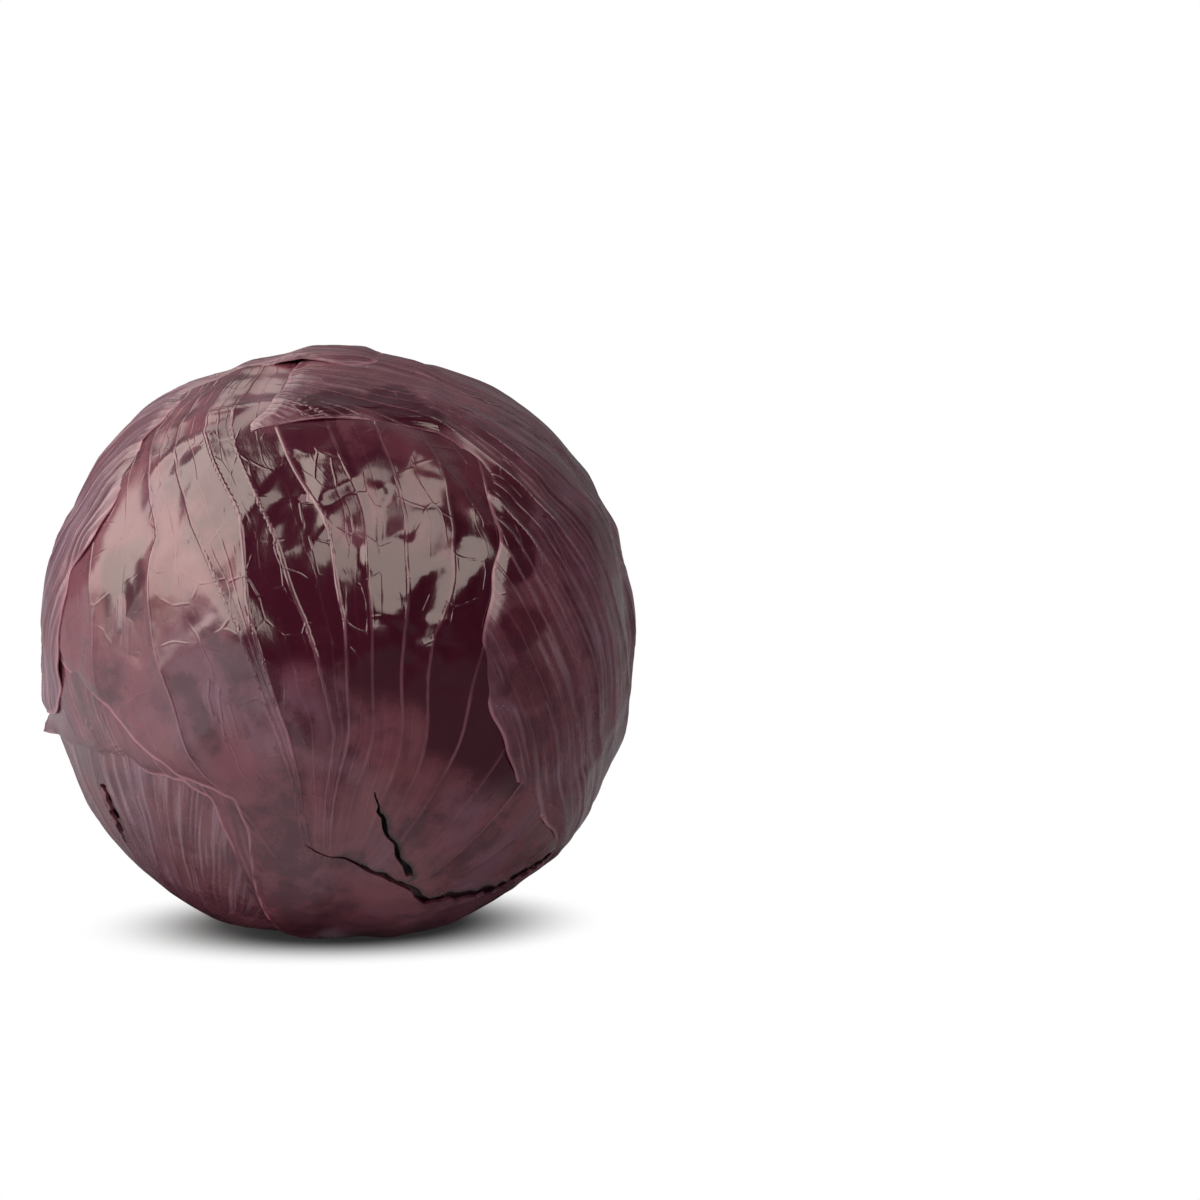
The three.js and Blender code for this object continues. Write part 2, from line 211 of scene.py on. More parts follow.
class CabbageSettings(bpy.types.PropertyGroup):
    """Sizes and colours of the cabbage and its stage."""

    heart_radius: length_setting(
        "Heart Radius", "Head's centre to the first wrapper leaf", 0.0745, 0.073, 0.076)
    leaf_thickness: length_setting(
        "Leaf Thickness", "Thickness of a wrapper leaf between its ribs", 0.0009, 0.0004, 0.0011)
    layer_pitch: length_setting(
        "Layer Pitch", "Leaf thickness and the air under it", 0.0013, 0.0012, 0.0016)
    rib_height: length_setting(
        "Rib Height", "How far a leaf's main ribs stand up", 0.00042, 0.0, 0.0012)
    margin_press: length_setting(
        "Margin Press", "Scale of the uneven press of free margins, on average a third of it",
        0.0006, 0.0, 0.002)
    underside_height: length_setting(
        "Underside Height", "Gap between the surface and the lowest leaf base",
        0.0004, 0.0002, 0.004)
    seed: IntProperty(
        name="Seed", description="Picks the waves, ripples and marks of the leaves", default=11)
    polished_and_shade_colour: colour_setting(
        "Polished Leaf And Shade", "Bare leaf skin where the bloom is rubbed off", (0.060, 0.002, 0.014))
    bloom_colour: colour_setting(
        "Bloom", "Leaf skin under its dusty wax bloom", (0.212, 0.043, 0.065))
    warm_colour: colour_setting(
        "Warm Patches", "Thin bloom over a brownish skin", (0.182, 0.041, 0.045))
    cool_colour: colour_setting(
        "Cool Patches", "Thick bloom over a purple skin", (0.168, 0.062, 0.106))
    streak_highlight_colour: colour_setting(
        "Streaks", "Painted highlight streaks along the ribs of a dusty leaf", (0.440, 0.290, 0.350))
    rib_colour: colour_setting(
        "Ribs", "Thin ribs and veins", (0.300, 0.110, 0.150))
    margin_colour: colour_setting(
        "Margin", "Thin reddish rim of a leaf", (0.480, 0.190, 0.240))
    stalk_colour: colour_setting(
        "Leaf Stalk", "Thick pale base of a leaf", (0.480, 0.340, 0.400))
    tear_gap_shade_colour: colour_setting(
        "Tear Gap Shade", "Painted shade in the dark gaps along and under tears", (0.022, 0.008, 0.008))
    flesh_colour: colour_setting(
        "Stem Flesh", "Freshly cut stem", (0.870, 0.740, 0.560))
    heart_colour: colour_setting(
        "Heart Leaf", "Young leaves of the packed heart", (0.110, 0.030, 0.080))
    floor_colour: colour_setting(
        "Floor", "Pale floor under the cabbage", (0.85, 0.85, 0.85))
    room_light: brightness_setting(
        "Room Light", "Soft light from all round, stronger from the left", 0.36)
    left_light: brightness_setting(
        "Left Light", "Brightness of the tall soft light on the left", 2.0)
    right_light: brightness_setting(
        "Right Light", "Brightness of the soft light on the right", 0.8)
    left_gleam: brightness_setting(
        "Left Gleam", "Brightness of the left light in reflections", 2.1)
    right_gleam: brightness_setting(
        "Right Gleam", "Brightness of the right light in reflections", 1.45)
    back_gleam: brightness_setting(
        "Back Gleam", "Brightness of the light behind, in reflections", 1.2)


def in_mm(length):
    """A setting in metres, as millimetres."""
    return length / MM


def ease(value):
    """0 below 0 and 1 above 1, with t·t·(3 − 2t) between."""
    t = np.clip(value, 0.0, 1.0)
    return t * t * (3.0 - 2.0 * t)


def soft_minimum(a, b, width):
    """The smaller of two arrays, rounded off where they are within `width` of each other."""
    blend = np.maximum(0.0, 1.0 - np.abs(a - b) / width)
    return np.minimum(a, b) - (width / 4.0) * blend * blend


def direction_of(azimuth, elevation):
    """The unit vector at an azimuth and an elevation."""
    turn, rise = math.radians(azimuth), math.radians(elevation)
    return np.array([
        math.cos(rise) * math.sin(turn), -math.cos(rise) * math.cos(turn), math.sin(rise)])


def axes_at(azimuth, elevation):
    """Rows: right, up and outwards at a place on the head."""
    middle = direction_of(azimuth, elevation)
    up = direction_of(azimuth, elevation + 90.0)
    return np.array([np.cross(up, middle), up, middle])


def directions_at(axes, angle, reach):
    """Unit vectors at angles around a middle and distances from it, both in degrees."""
    turn, away = np.radians(angle), np.radians(reach)
    local = np.stack([np.sin(away) * np.sin(turn), np.sin(away) * np.cos(turn), np.cos(away)], -1)
    return local @ axes


def polar_about(axes, directions):
    """The angle around a middle and the distance from it of each direction, in degrees."""
    right, up, out = (directions @ axes.T).T
    return np.degrees(np.arctan2(right, up)), np.degrees(np.arccos(np.clip(out, -1.0, 1.0)))


def degrees_from_bottom(directions):
    """The angle between each direction and straight down."""
    return np.degrees(np.arccos(np.clip(-directions[:, 2], -1.0, 1.0)))


def smooth_noise(directions, radius, wavelength, seed):
    """Seeded noise near -1 to 1: plane waves of about one wavelength, added up and scaled."""
    waves = 14
    source = np.random.default_rng(seed)
    axis = source.normal(size=(waves, 3))
    axis /= np.linalg.norm(axis, axis=1, keepdims=True)
    turns = 2.0 * np.pi * radius / wavelength * source.uniform(0.7, 1.35, (waves, 1))
    phase = source.uniform(0.0, 2.0 * np.pi, waves)
    return np.cos(directions @ (axis * turns).T + phase).sum(axis=-1) / math.sqrt(waves)


def cubic_through(knots, values, places):
    """A closed cubic through knots a turn apart: each slope is the harmonic mean of the slopes
    on both sides, and level at a turning point, so the curve never swings past its points."""
    x = np.concatenate([knots[-2:] - FULL_TURN, knots, knots[:3] + FULL_TURN])
    y = np.concatenate([values[-2:], values, values[:3]])
    steep = np.diff(y) / np.diff(x)
    product = steep[:-1] * steep[1:]
    total = np.where(product > 0, steep[:-1] + steep[1:], 1.0)
    slope = np.concatenate([[0.0], np.where(product > 0, 2.0 * product / total, 0.0), [0.0]])
    place = (places - knots[0]) % FULL_TURN + knots[0]
    at = np.searchsorted(x, place, side="right") - 1
    span = x[at + 1] - x[at]
    t = (place - x[at]) / span
    blend = ease(t)
    bend = span * t * (1 - t) * (slope[at] * (1 - t) - slope[at + 1] * t)
    return y[at] * (1 - blend) + y[at + 1] * blend + bend


def reach_to_stem(elevation, angle):
    """How far a leaf reaches before it meets the stem: where the great circle from its middle
    enters the cone around straight down."""
    to_bottom = math.radians(elevation + 90.0)
    along = math.cos(to_bottom)
    across = -math.sin(to_bottom) * np.cos(np.radians(angle))
    nearness = math.cos(math.radians(LEAF_BASE_ANGLE)) / np.hypot(along, across)
    entry = np.degrees(np.arctan2(across, along) - np.arccos(np.minimum(nearness, 1.0)))
    return np.where(nearness < 1.0, entry % FULL_TURN, np.inf)


def either_side(columns, number):
    """Each row's value in a numbered column and in the next one."""
    rows = np.arange(len(columns))
    return columns[rows, number], columns[rows, number + 1]


def line_distance(x, y, points, amounts):
    """Distance to a bent line, for arrays of points: the nearest foot on any of its pieces.
    Gives the distance, the side (+1 or -1), the foot, the amount there, carried evenly along
    each piece, and whether the foot is inside the line and not one of its ends."""
    best = np.full(x.shape, np.inf)
    side, foot_x, foot_y, amount = (np.zeros(x.shape) for _ in range(4))
    inside = np.zeros(x.shape, bool)
    last = len(points) - 2
    for piece in range(last + 1):
        ax, ay = points[piece]
        dx, dy = points[piece + 1][0] - ax, points[piece + 1][1] - ay
        along = ((x - ax) * dx + (y - ay) * dy) / (dx * dx + dy * dy)
        t = np.clip(along, 0.0, 1.0)
        fx, fy = ax + t * dx, ay + t * dy
        distance = np.hypot(x - fx, y - fy)
        near = distance < best
        best = np.where(near, distance, best)
        side = np.where(near, np.where((y - ay) * dx - (x - ax) * dy >= 0, 1.0, -1.0), side)
        foot_x, foot_y = np.where(near, fx, foot_x), np.where(near, fy, foot_y)
        here = amounts[piece] * (1 - t) + amounts[piece + 1] * t
        amount = np.where(near, here, amount)
        within = (along >= 0 if piece == 0 else True) & (along <= 1 if piece == last else True)
        inside = np.where(near, within, inside)
    return best, side, foot_x, foot_y, amount, inside


def facets(directions, radius, seed):
    """Flat cells about 9 mm across, each tilted its own way: radius·(tilt · way from the cell's
    middle), in millimetres for a tilt of about one degree. Within 1.5 mm of a border the two
    cells' heights are blended."""
    source = np.random.default_rng(seed)
    at = np.arange(FACET_COUNT) + 0.5
    height = 1.0 - 2.0 * at / FACET_COUNT
    turn = at * GOLDEN_ANGLE
    around = np.sqrt(1.0 - height * height)
    middles = np.stack([around * np.cos(turn), around * np.sin(turn), height], -1)
    middles += source.normal(0.0, 0.04, middles.shape)
    middles /= np.linalg.norm(middles, axis=1, keepdims=True)
    tilts = source.normal(0.0, math.radians(1.0), middles.shape)
    nearness = directions.astype(np.float32) @ middles.T.astype(np.float32)
    rows = np.arange(len(directions))
    heights, away = [], []
    for _ in range(2):
        cell = nearness.argmax(axis=1)
        way = directions - middles[cell]
        heights.append(radius * (way * tilts[cell]).sum(axis=1))
        away.append(radius * np.linalg.norm(way, axis=1))
        nearness[rows, cell] = -2.0
    share = 0.5 + 0.5 * ease((away[1] - away[0]) / 1.5)
    return heights[0] * share + heights[1] * (1.0 - share)


class Leaf:
    """One wrapper leaf: its outline, ribs and tears, as directions from the head's centre."""

    def __init__(self, order, row, radius, seed):
        self.order = order
        self.row = row
        self.radius = radius
        self.seed = seed + 101 * order
        self.axes = axes_at(row["azimuth"], row["elevation"])
        self.table_angles = np.arange(0.0, FULL_TURN, TABLE_STEP)
        self.table = self.outline_table()
        self.margin = directions_at(self.axes, self.table_angles, self.table)
        self.rib_axes = axes_at(row["azimuth"], row["rise"] - 90.0)
        self.mm_per_degree = radius * math.pi / 180.0

    def outline_table(self):
        """The outline's reach all round, with a faint ripple, and no further than the stem."""
        knots, reach = np.array(self.row["outline"], float).T
        smooth = cubic_through(knots, reach, self.table_angles)
        source = np.random.default_rng(self.seed)
        turns = np.radians(self.table_angles)
        for lobes, height in RIPPLES:
            smooth = smooth + height * np.sin(lobes * turns + source.uniform(0, 2 * np.pi))
        return np.minimum(smooth, reach_to_stem(self.row["elevation"], self.table_angles))

    def reach_at(self, angle):
        """The margin's reach at any angle, read evenly between the table's entries."""
        return np.interp(angle % FULL_TURN, self.table_angles, self.table, period=FULL_TURN)

    def inside(self, directions, step=MARGIN_STEP):
        """Distance inside the margin in millimetres, negative outside."""
        angle, reach = polar_about(self.axes, directions)
        samples = self.margin[::step].astype(np.float32)
        nearest = (directions.astype(np.float32) @ samples.T).max(axis=-1)
        gap = np.arccos(np.clip(nearest, -1.0, 1.0)) * self.radius
        return np.where(reach < self.reach_at(angle), gap, -gap)

    def cover(self, directions):
        """1 where the leaf lies, easing to 0 outside its margin."""
        outside = -self.inside(directions) - COVER_OFFSET
        return ease(1.0 - outside / COVER_RAMP)

    def noise(self, directions, wavelength, number):
        """The leaf's own noise: each number gives another pattern."""
        return smooth_noise(directions, self.radius, wavelength, self.seed + number)

    def distance_to(self, place, directions):
        """Millimetres over the head from each direction to a place given by angle and reach."""
        middle = directions_at(self.axes, np.float64(place[0]), np.float64(place[1]))
        return np.arccos(np.clip(directions @ middle, -1, 1)) * self.radius

    def plane(self, angle, reach):
        """A flat map of the leaf in millimetres: right and up of its middle."""
        away = reach * self.mm_per_degree
        return away * np.sin(np.radians(angle)), away * np.cos(np.radians(angle))

    def marked_lines(self, kind):
        """The leaf's tears or creases, as points on the flat map with an amount at each. Every
        piece of a tear is broken into four, with its new corners up to 0.8 mm aside each way
        and their amounts changed by up to 35 percent."""
        lines = []
        source = np.random.default_rng(self.seed + 41)
        for line in self.row.get(kind, ()):
            knots = np.array([(*self.plane(np.float64(angle), np.float64(reach)), amount)
                              for (angle, reach), amount in line])
            if kind == "tears":
                at = np.linspace(0, len(knots) - 1, 4 * len(knots) - 3)
                knots = np.stack([np.interp(at, np.arange(len(knots)), column)
                                  for column in knots.T], -1)
                corner = at % 1.0 > 0
                knots[corner, :2] += source.uniform(-0.8, 0.8, (corner.sum(), 2))
                knots[corner, 2] *= source.uniform(0.65, 1.35, corner.sum())
            lines.append((knots[:, :2], knots[:, 2]))
        return lines

    def patch(self, kind, phase, away):
        """1 in the leaf's patches of a kind and 0 outside, eased. A patch runs from rib to rib
        and from distance to distance."""
        inside = np.zeros(len(phase))
        for start, end, near, far, strength in self.row.get(kind, ()):
            across = ease((phase - start) / 0.14 + 0.5) * ease((end - phase) / 0.14 + 0.5)
            along = ease((away - near) / 7.0 + 0.5) * ease((far - away) / 5.0 + 0.5)
            inside = np.maximum(inside, strength * across * along)
        return inside

    def rubbed(self, directions):
        """1 in the leaf's round rubbed patches and 0 outside, with wavy edges."""
        bare = np.zeros(len(directions))
        wave = 2.5 * self.noise(directions, 16.0, 37)
        for place, size, strength in self.row.get("rubbed", ()):
            away = self.distance_to(place, directions)
            bare = np.maximum(bare, strength * ease((size + wave - away) / 3.0 + 0.5))
        return bare

    def tear_depth(self, directions):
        """1 on the leaf's tears, falling off like a bell over the gap beside them."""
        x, y = self.plane(*polar_about(self.axes, directions))
        depth = np.zeros(len(directions))
        for points, widths in self.marked_lines("tears"):
            away, _, _, _, width, _ = line_distance(x, y, points, widths)
            beside = np.maximum(away - width, 0.0)
            depth = np.maximum(depth, bell(beside, 1.6) * ease(width / 0.7))
        return depth

    def grid_directions(self):
        """The leaf's grid: a disc grid stretched to the outline and parted along the tears.
        Gives the directions, the cells to keep and how close each point is to a tear."""
        count = self.row["grid"]
        across, upward = disc_grid(count)
        angle = np.degrees(np.arctan2(across, upward))
        x, y = self.plane(angle, self.reach_at(angle) * np.hypot(across, upward))
        keep = np.ones((count - 1, count - 1), bool)
        lip = np.zeros((count, count))
        for points, widths in self.marked_lines("tears"):
            x, y, cut, near = self.parted(x, y, points, widths)
            keep &= ~cut
            lip = np.maximum(lip, near)
        angle = np.degrees(np.arctan2(x, y))
        directions = directions_at(self.axes, angle, np.hypot(x, y) / self.mm_per_degree)
        return directions.reshape(-1, 3), keep, lip.ravel()

    def parted(self, x, y, points, widths):
        """Parts the grid along a line: cells that the line crosses are cut out, their corners
        go to the two edges of the gap, and the rest is pushed aside less and less."""
        away, side, foot_x, foot_y, width, inside = line_distance(x, y, points, widths)
        cell = np.hypot(np.diff(x, axis=1)[:-1], np.diff(y, axis=1)[:-1])
        corners = (slice(None, -1), slice(None, -1)), (slice(None, -1), slice(1, None)), \
            (slice(1, None), slice(None, -1)), (slice(1, None), slice(1, None))
        sides = sum(side[corner] for corner in corners)
        furthest = np.max([away[corner] for corner in corners], axis=0)
        within = np.all([inside[corner] for corner in corners], axis=0)
        cut = (np.abs(sides) < 4) & (furthest < 2.6 * cell) & within
        snapped = np.zeros(x.shape, bool)
        for corner in corners:
            snapped[corner] |= cut
        half = width * (1.0 + 0.2 * np.sin(foot_x * 1.3 + 2.0 * side + foot_y))
        safe = np.maximum(away, 1e-6)
        unit_x, unit_y = (x - foot_x) / safe, (y - foot_y) / safe
        target = np.where(snapped, np.maximum(half, 0.02), away + half * np.exp(-away / 5.0))
        target = np.where(inside | snapped, target, away)
        near = np.exp(-away / 2.2) * ease(width / 0.5) * np.where(side > 0, 1.0, 0.45)
        return foot_x + unit_x * target, foot_y + unit_y * target, cut, near

    def rib_table(self):
        """The angle of each rib at a few distances from where the ribs part."""
        stops = np.array([20.0, 40.0, 60.0, 80.0, 100.0])
        if "ribs" in self.row:
            return stops, np.array(self.row["ribs"], float)
        half = int(140 / self.row["fan"])
        source = np.random.default_rng(self.seed + 7)
        start = np.arange(-half, half + 1) * self.row["fan"]
        wander = source.normal(0.0, 0.14 * self.row["fan"], (len(start), len(stops)))
        narrow = 1.0 - 0.0022 * (stops - 20.0)
        return stops, start[:, None] * narrow + self.row["lean"] * (stops - 20.0) + wander

    def ribs(self, directions):
        """Rib coordinates of each direction: the number of the rib with the share of the way
        to the next one, the gap between the two in millimetres, the share at which a forked
        rib runs, how strongly ribs show there, the distance from where they part, the height
        of a flat panel between the two and how strong the nearest rib is."""
        angle, away = polar_about(self.rib_axes, directions)
        stops, table = self.rib_table()
        wander = 0.9 if "ribs" in self.row else 1.2
        angle = angle + wander * self.noise(directions, 34.0, 3)
        columns = np.stack([np.interp(away, stops, rib) for rib in table], -1)
        number = np.clip((columns <= angle[:, None]).sum(axis=-1) - 1, 0, len(table) - 2)
        here, after = either_side(columns, number)
        share = np.clip((angle - here) / (after - here), 0.0, 1.0)
        gap = np.radians(after - here) * np.sin(np.radians(np.clip(away, 4.0, 140.0)))
        source = np.random.default_rng(self.seed + 5)
        forks = source.uniform(26.0, 52.0, len(table))[number]
        ends = source.uniform(0.38, 0.62, len(table))[number]
        fork = ends * ease((away - forks) / 34.0) * (0.0 if "ribs" in self.row else 1.0)
        shown = ease((128.0 - np.abs(angle)) / 30.0) * ease((away - 8.0) / 20.0)
        tilt = source.normal(0.0, 0.24, (len(table), len(stops)))
        if "heights" in self.row:
            tilt = 0.25 * tilt + np.array(self.row["heights"])[:, None] * ease(stops / 60.0)
        heights = np.stack([np.interp(away, stops, height) for height in tilt], -1)
        start, end = either_side(heights, number)
        panel = (start * (1 - share) + end * share) * shown
        strengths = source.uniform(0.25, 1.0, len(table))
        if "strengths" in self.row:
            strengths = np.array(self.row["strengths"], float)
        strong = strengths[number + (share > 0.5)]
        return number + share, gap * self.radius, fork, shown, away, panel, strong


def head_centre():
    """The head's centre in metres: half the round heart's width below its top."""
    low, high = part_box("packed_heart")
    across, deep = (low[0] + high[0]) / 2, (low[1] + high[1]) / 2
    return Vector((across, deep, high[2] - (high[0] - low[0]) / 2))


class Head:
    """All the leaves together: what lies over what, and how far out each layer runs."""

    def __init__(self, settings):
        self.settings = settings
        self.centre = np.array(head_centre()) / MM
        self.radius = in_mm(settings.heart_radius)
        self.pitch = in_mm(settings.layer_pitch)
        self.underside = self.centre[2] - in_mm(settings.underside_height)
        self.leaves = [Leaf(order, row, self.radius, settings.seed)
                       for order, row in enumerate(LEAVES)]

    def covers(self, directions):
        """Every leaf's cover, side by side."""
        return np.stack([leaf.cover(directions) for leaf in self.leaves], -1)

    def form(self, directions):
        """The head's own unevenness, which all layers share, its flatter top, its fuller
        underside and its broad shoulders, 4·x²·z² of the direction."""
        seed = self.settings.seed
        from_bottom = degrees_from_bottom(directions)
        broad = smooth_noise(directions, self.radius, 120.0, seed + 1)
        lumps = smooth_noise(directions, self.radius, 46.0, seed + 2)
        flatter = FLAT_TOP * ease((from_bottom - 138.0) / 34.0)
        fuller = FULL_BASE * ease((66.0 - from_bottom) / 32.0)
        shoulders = SHOULDERS * 4.0 * directions[:, 0] ** 2 * directions[:, 2] ** 2
        return 0.45 * broad + 0.28 * lumps - flatter + fuller + shoulders

    def layer(self, order, directions, covers, form):
        """Distance from the centre to a layer's inner face, and how flat the underside makes
        it there. Inner leaves lift it off the heart, and outer ones hold it above the flat
        underside."""
        lifted = self.radius + form + self.pitch * covers[:, :order].sum(axis=-1)
        downward = np.maximum(-directions[:, 2], 1e-3)
        outer = covers[:, order:].sum(axis=-1)
        underside = (self.underside - self.pitch * outer) / downward
        radius = soft_minimum(lifted, underside, UNDERSIDE_ROUNDING)
        return radius, ease((lifted - radius) / 2.0)

    def sink(self, order, directions):
        """How deep the tears of outer leaves show in a layer."""
        depth = np.zeros(len(directions))
        for leaf in self.leaves[order + 1:]:
            if leaf.row.get("tears"):
                depth = np.maximum(depth, leaf.tear_depth(directions))
        return depth

    def placed(self, directions, radius):
        """Points in metres at distances from the head's centre."""
        return (self.centre + directions * radius[:, None]) * MM


def disc_grid(count):
    """A square grid of points moved onto a disc: x·sqrt(1 − y²/2) and y·sqrt(1 − x²/2)."""
    line = np.linspace(-1.0, 1.0, count)
    y, x = np.meshgrid(line, line, indexing="ij")
    return x * np.sqrt(1 - y * y / 2), y * np.sqrt(1 - x * x / 2)


def grid_cells(index):
    """The four corners of every cell of a grid of point numbers, going round each cell."""
    return np.stack([index[:-1, :-1], index[:-1, 1:], index[1:, 1:], index[1:, :-1]], -1)


def shell_faces(keep):
    """Faces of a thin shell on a grid: the outer cells, the inner cells turned round, and a
    wall along every edge that has a kept cell on one side only."""
    rows, columns = keep.shape[0] + 1, keep.shape[1] + 1
    index = np.arange(rows * columns).reshape(rows, columns)
    inner = rows * columns
    cells = grid_cells(index)[keep]
    padded = np.pad(keep, 1)
    lower, upper = padded[:-1, 1:-1], padded[1:, 1:-1]
    left, right = padded[1:-1, :-1], padded[1:-1, 1:]
    starts, ends = [], []
    for chosen, start, end in (
        (upper & ~lower, index[:, :-1], index[:, 1:]),
        (lower & ~upper, index[:, 1:], index[:, :-1]),
        (right & ~left, index[1:, :], index[:-1, :]),
        (left & ~right, index[:-1, :], index[1:, :]),
    ):
        starts.append(start[chosen])
        ends.append(end[chosen])
    a, b = np.concatenate(starts), np.concatenate(ends)
    walls = np.stack([b, a, a + inner, b + inner], -1)
    return np.concatenate([cells, cells[:, ::-1] + inner, walls])


def mesh_object(name, points, faces, attributes, sharp=None):
    """A mesh piece from arrays: unused points are dropped, and point attributes are stored."""
    used, flat = np.unique(faces, return_inverse=True)
    faces = flat.reshape(faces.shape)
    points = points[used]
    mesh = bpy.data.meshes.new(name)
    mesh.vertices.add(len(points))
    mesh.vertices.foreach_set("co", points.astype(np.float32).ravel())
    sides = faces.shape[1]
    mesh.loops.add(faces.size)
    mesh.loops.foreach_set("vertex_index", faces.astype(np.int32).ravel())
    mesh.polygons.add(len(faces))
    mesh.polygons.foreach_set("loop_start", np.arange(0, faces.size, sides, dtype=np.int32))
    mesh.update(calc_edges=True)
    for label, values in attributes.items():
        values = values[used].astype(np.float32)
        kind = "FLOAT" if values.ndim == 1 else "FLOAT_VECTOR"
        field = "value" if values.ndim == 1 else "vector"
        mesh.attributes.new(label, kind, "POINT").data.foreach_set(field, values.ravel())
    mesh.shade_smooth()
    if sharp is not None:
        mesh.set_sharp_from_angle(angle=math.radians(sharp))
    mesh.validate()
    piece = bpy.data.objects.new(name, mesh)
    bpy.context.scene.collection.objects.link(piece)
    return piece


def bell(distance, width):
    """1 at no distance, falling off over a width: e to the minus (distance / width)²."""
    return np.exp(-(distance / width) ** 2)


def wrapper_leaf(head, leaf):
    """One wrapper leaf. Its inner face follows the layer below. On it come the broad form, the
    flat panels between ribs (−rise·4f(1 − f) across a gap), creases, lips and the pressed
    margin. The outer face adds the thickness and the ribs, which are bells across each rib."""
    settings = head.settings
    order = leaf.order
    directions, keep, lip = leaf.grid_directions()
    covers = head.covers(directions)
    covers[:, order] = 1.0
    form = head.form(directions) - TEAR_SINK * head.sink(order, directions)
    base, flat = head.layer(order, directions, covers, form)
    hidden = covers[:, order + 1:].max(axis=-1) if order + 1 < len(head.leaves) else 0 * base
    free = (1.0 - flat) * (1.0 - 0.85 * hidden)
    rim = np.maximum(leaf.inside(directions, 1), 0.0)

    phase, gap, fork, shown, rib_away, panel, strong = leaf.ribs(directions)
    share = phase - np.floor(phase)
    source = np.random.default_rng(leaf.seed + 13)
    depths = source.uniform(0.8, 1.35, 64)[np.floor(phase).astype(int) % 64]
    sagitta = np.minimum(gap ** 2 / (8.0 * head.radius), 1.2)
    panels = panel - depths * sagitta * 4.0 * share * (1.0 - share) * shown
    crumple = -0.30 * np.abs(leaf.noise(directions, 30.0, 23)) \
        - 0.12 * np.abs(leaf.noise(directions, 13.0, 29))
    swell = 0.35 * leaf.noise(directions, 30.0, 17)

    x, y = leaf.plane(*polar_about(leaf.axes, directions))
    creases = np.zeros(len(directions))
    for points, heights in leaf.marked_lines("creases"):
        away, _, _, _, height, _ = line_distance(x, y, points, heights)
        creases += height * bell(away, 1.9)
    uneven = leaf.noise(directions, 24.0, 19)
    pressed = in_mm(settings.margin_press) * bell(rim, 3.2) * (0.35 * uneven - 0.35)
    cells = facets(directions, leaf.radius, leaf.seed + 43)
    cells *= 0.5 + 2.5 * leaf.patch("crumpled", phase, rib_away)
    shared = panels + crumple + cells + swell + creases + pressed + 0.5 * lip
    if "curl" in leaf.row:
        tip, height, width = leaf.row["curl"]
        shared = shared + height * ease(1.0 - leaf.distance_to(tip, directions) / width) ** 1.5
    inner = base + shared * free

    to_rib = np.minimum(share, 1.0 - share) * gap
    to_fork = np.abs(share - fork) * gap
    rib_width = 1.6 - 0.8 * ease((rib_away - 10.0) / 60.0)
    ridges = np.maximum(bell(to_rib, rib_width),
                        0.6 * bell(to_fork, 0.8 * rib_width) * ease(fork / 0.12))
    ridges *= shown * strong * (1.0 - 0.55 * ease((rib_away - 30.0) / 50.0))
    side_of_midrib = np.degrees(np.arcsin(np.clip(directions @ leaf.axes[0], -1, 1)))
    stalk_run = ease((36.0 - degrees_from_bottom(directions)) / 18.0)
    below = ease((20.0 - np.abs(side_of_midrib)) / 6.0) * (directions @ leaf.axes[1] < 0.35)
    stalk = bell(side_of_midrib * leaf.mm_per_degree, 3.0 + 3.4 * stalk_run)
    stalk = stalk * stalk_run * below
    edge = 0.3 + 0.7 * ease(rim / 3.5)
    skin = in_mm(settings.leaf_thickness) * edge
    relief = in_mm(settings.rib_height) * leaf.row.get("relief", 1.0)
    outer = inner + skin + relief * ridges * (1.0 - flat) \
        * (1.0 - 0.7 * hidden) * edge + 0.6 * stalk * (1.0 - 0.75 * hidden) * edge
    points = np.concatenate([head.placed(directions, outer), head.placed(directions, inner)])

    # torn is 1 on the lips of this leaf's tears and where an outer leaf's tear lies over it; the
    # skin paints near-black shade there for the shadow in the gap.
    torn = np.maximum(lip, head.sink(order, directions))
    bare = np.maximum(leaf.patch("bare", phase, rib_away), leaf.rubbed(directions))
    dusty = leaf.row.get("dusty", 0.2) * (1.0 - bare)
    line = rim / leaf.row.get("rim_line", 1.0)
    run = rib_away * leaf.mm_per_degree
    # On the outer face and then on the inner one.
    attributes = {label: np.tile(np.stack(values, -1), (2, 1)) for label, values in (
        ("ribs", (phase, gap, fork)), ("finish", (strong, dusty, 0.0 * dusty)),
        ("places", (line, stalk, torn)), ("run", (run, shown, bare)))}
    piece = mesh_object(leaf.row["node"] + "_blade", points, shell_faces(keep), attributes, 48.0)
    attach(piece, "root")
    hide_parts(leaf.row["node"])
    return piece


def sphere_grid(count):
    """Directions and faces of a closed ball: the six sides of a cube, each a grid whose points
    are spread by tan, pushed out to the ball and joined where they meet."""
    line = np.tan(np.linspace(-np.pi / 4, np.pi / 4, count))
    v, u = np.meshgrid(line, line, indexing="ij")
    one = np.ones_like(u)
    sides = ((one, u, v), (-one, -u, v), (-u, one, v), (u, -one, v), (-v, u, one), (v, u, -one))
    points = np.concatenate([np.stack(side, -1).reshape(-1, 3) for side in sides])
    points /= np.linalg.norm(points, axis=1, keepdims=True)
    index = np.arange(count * count).reshape(count, count)
    cells = grid_cells(index).reshape(-1, 4)
    faces = np.concatenate([cells + side * count * count for side in range(6)])
    _, first, group = np.unique(np.round(points, 6), axis=0, return_index=True,
                                return_inverse=True)
    return points[first], group.ravel()[faces]


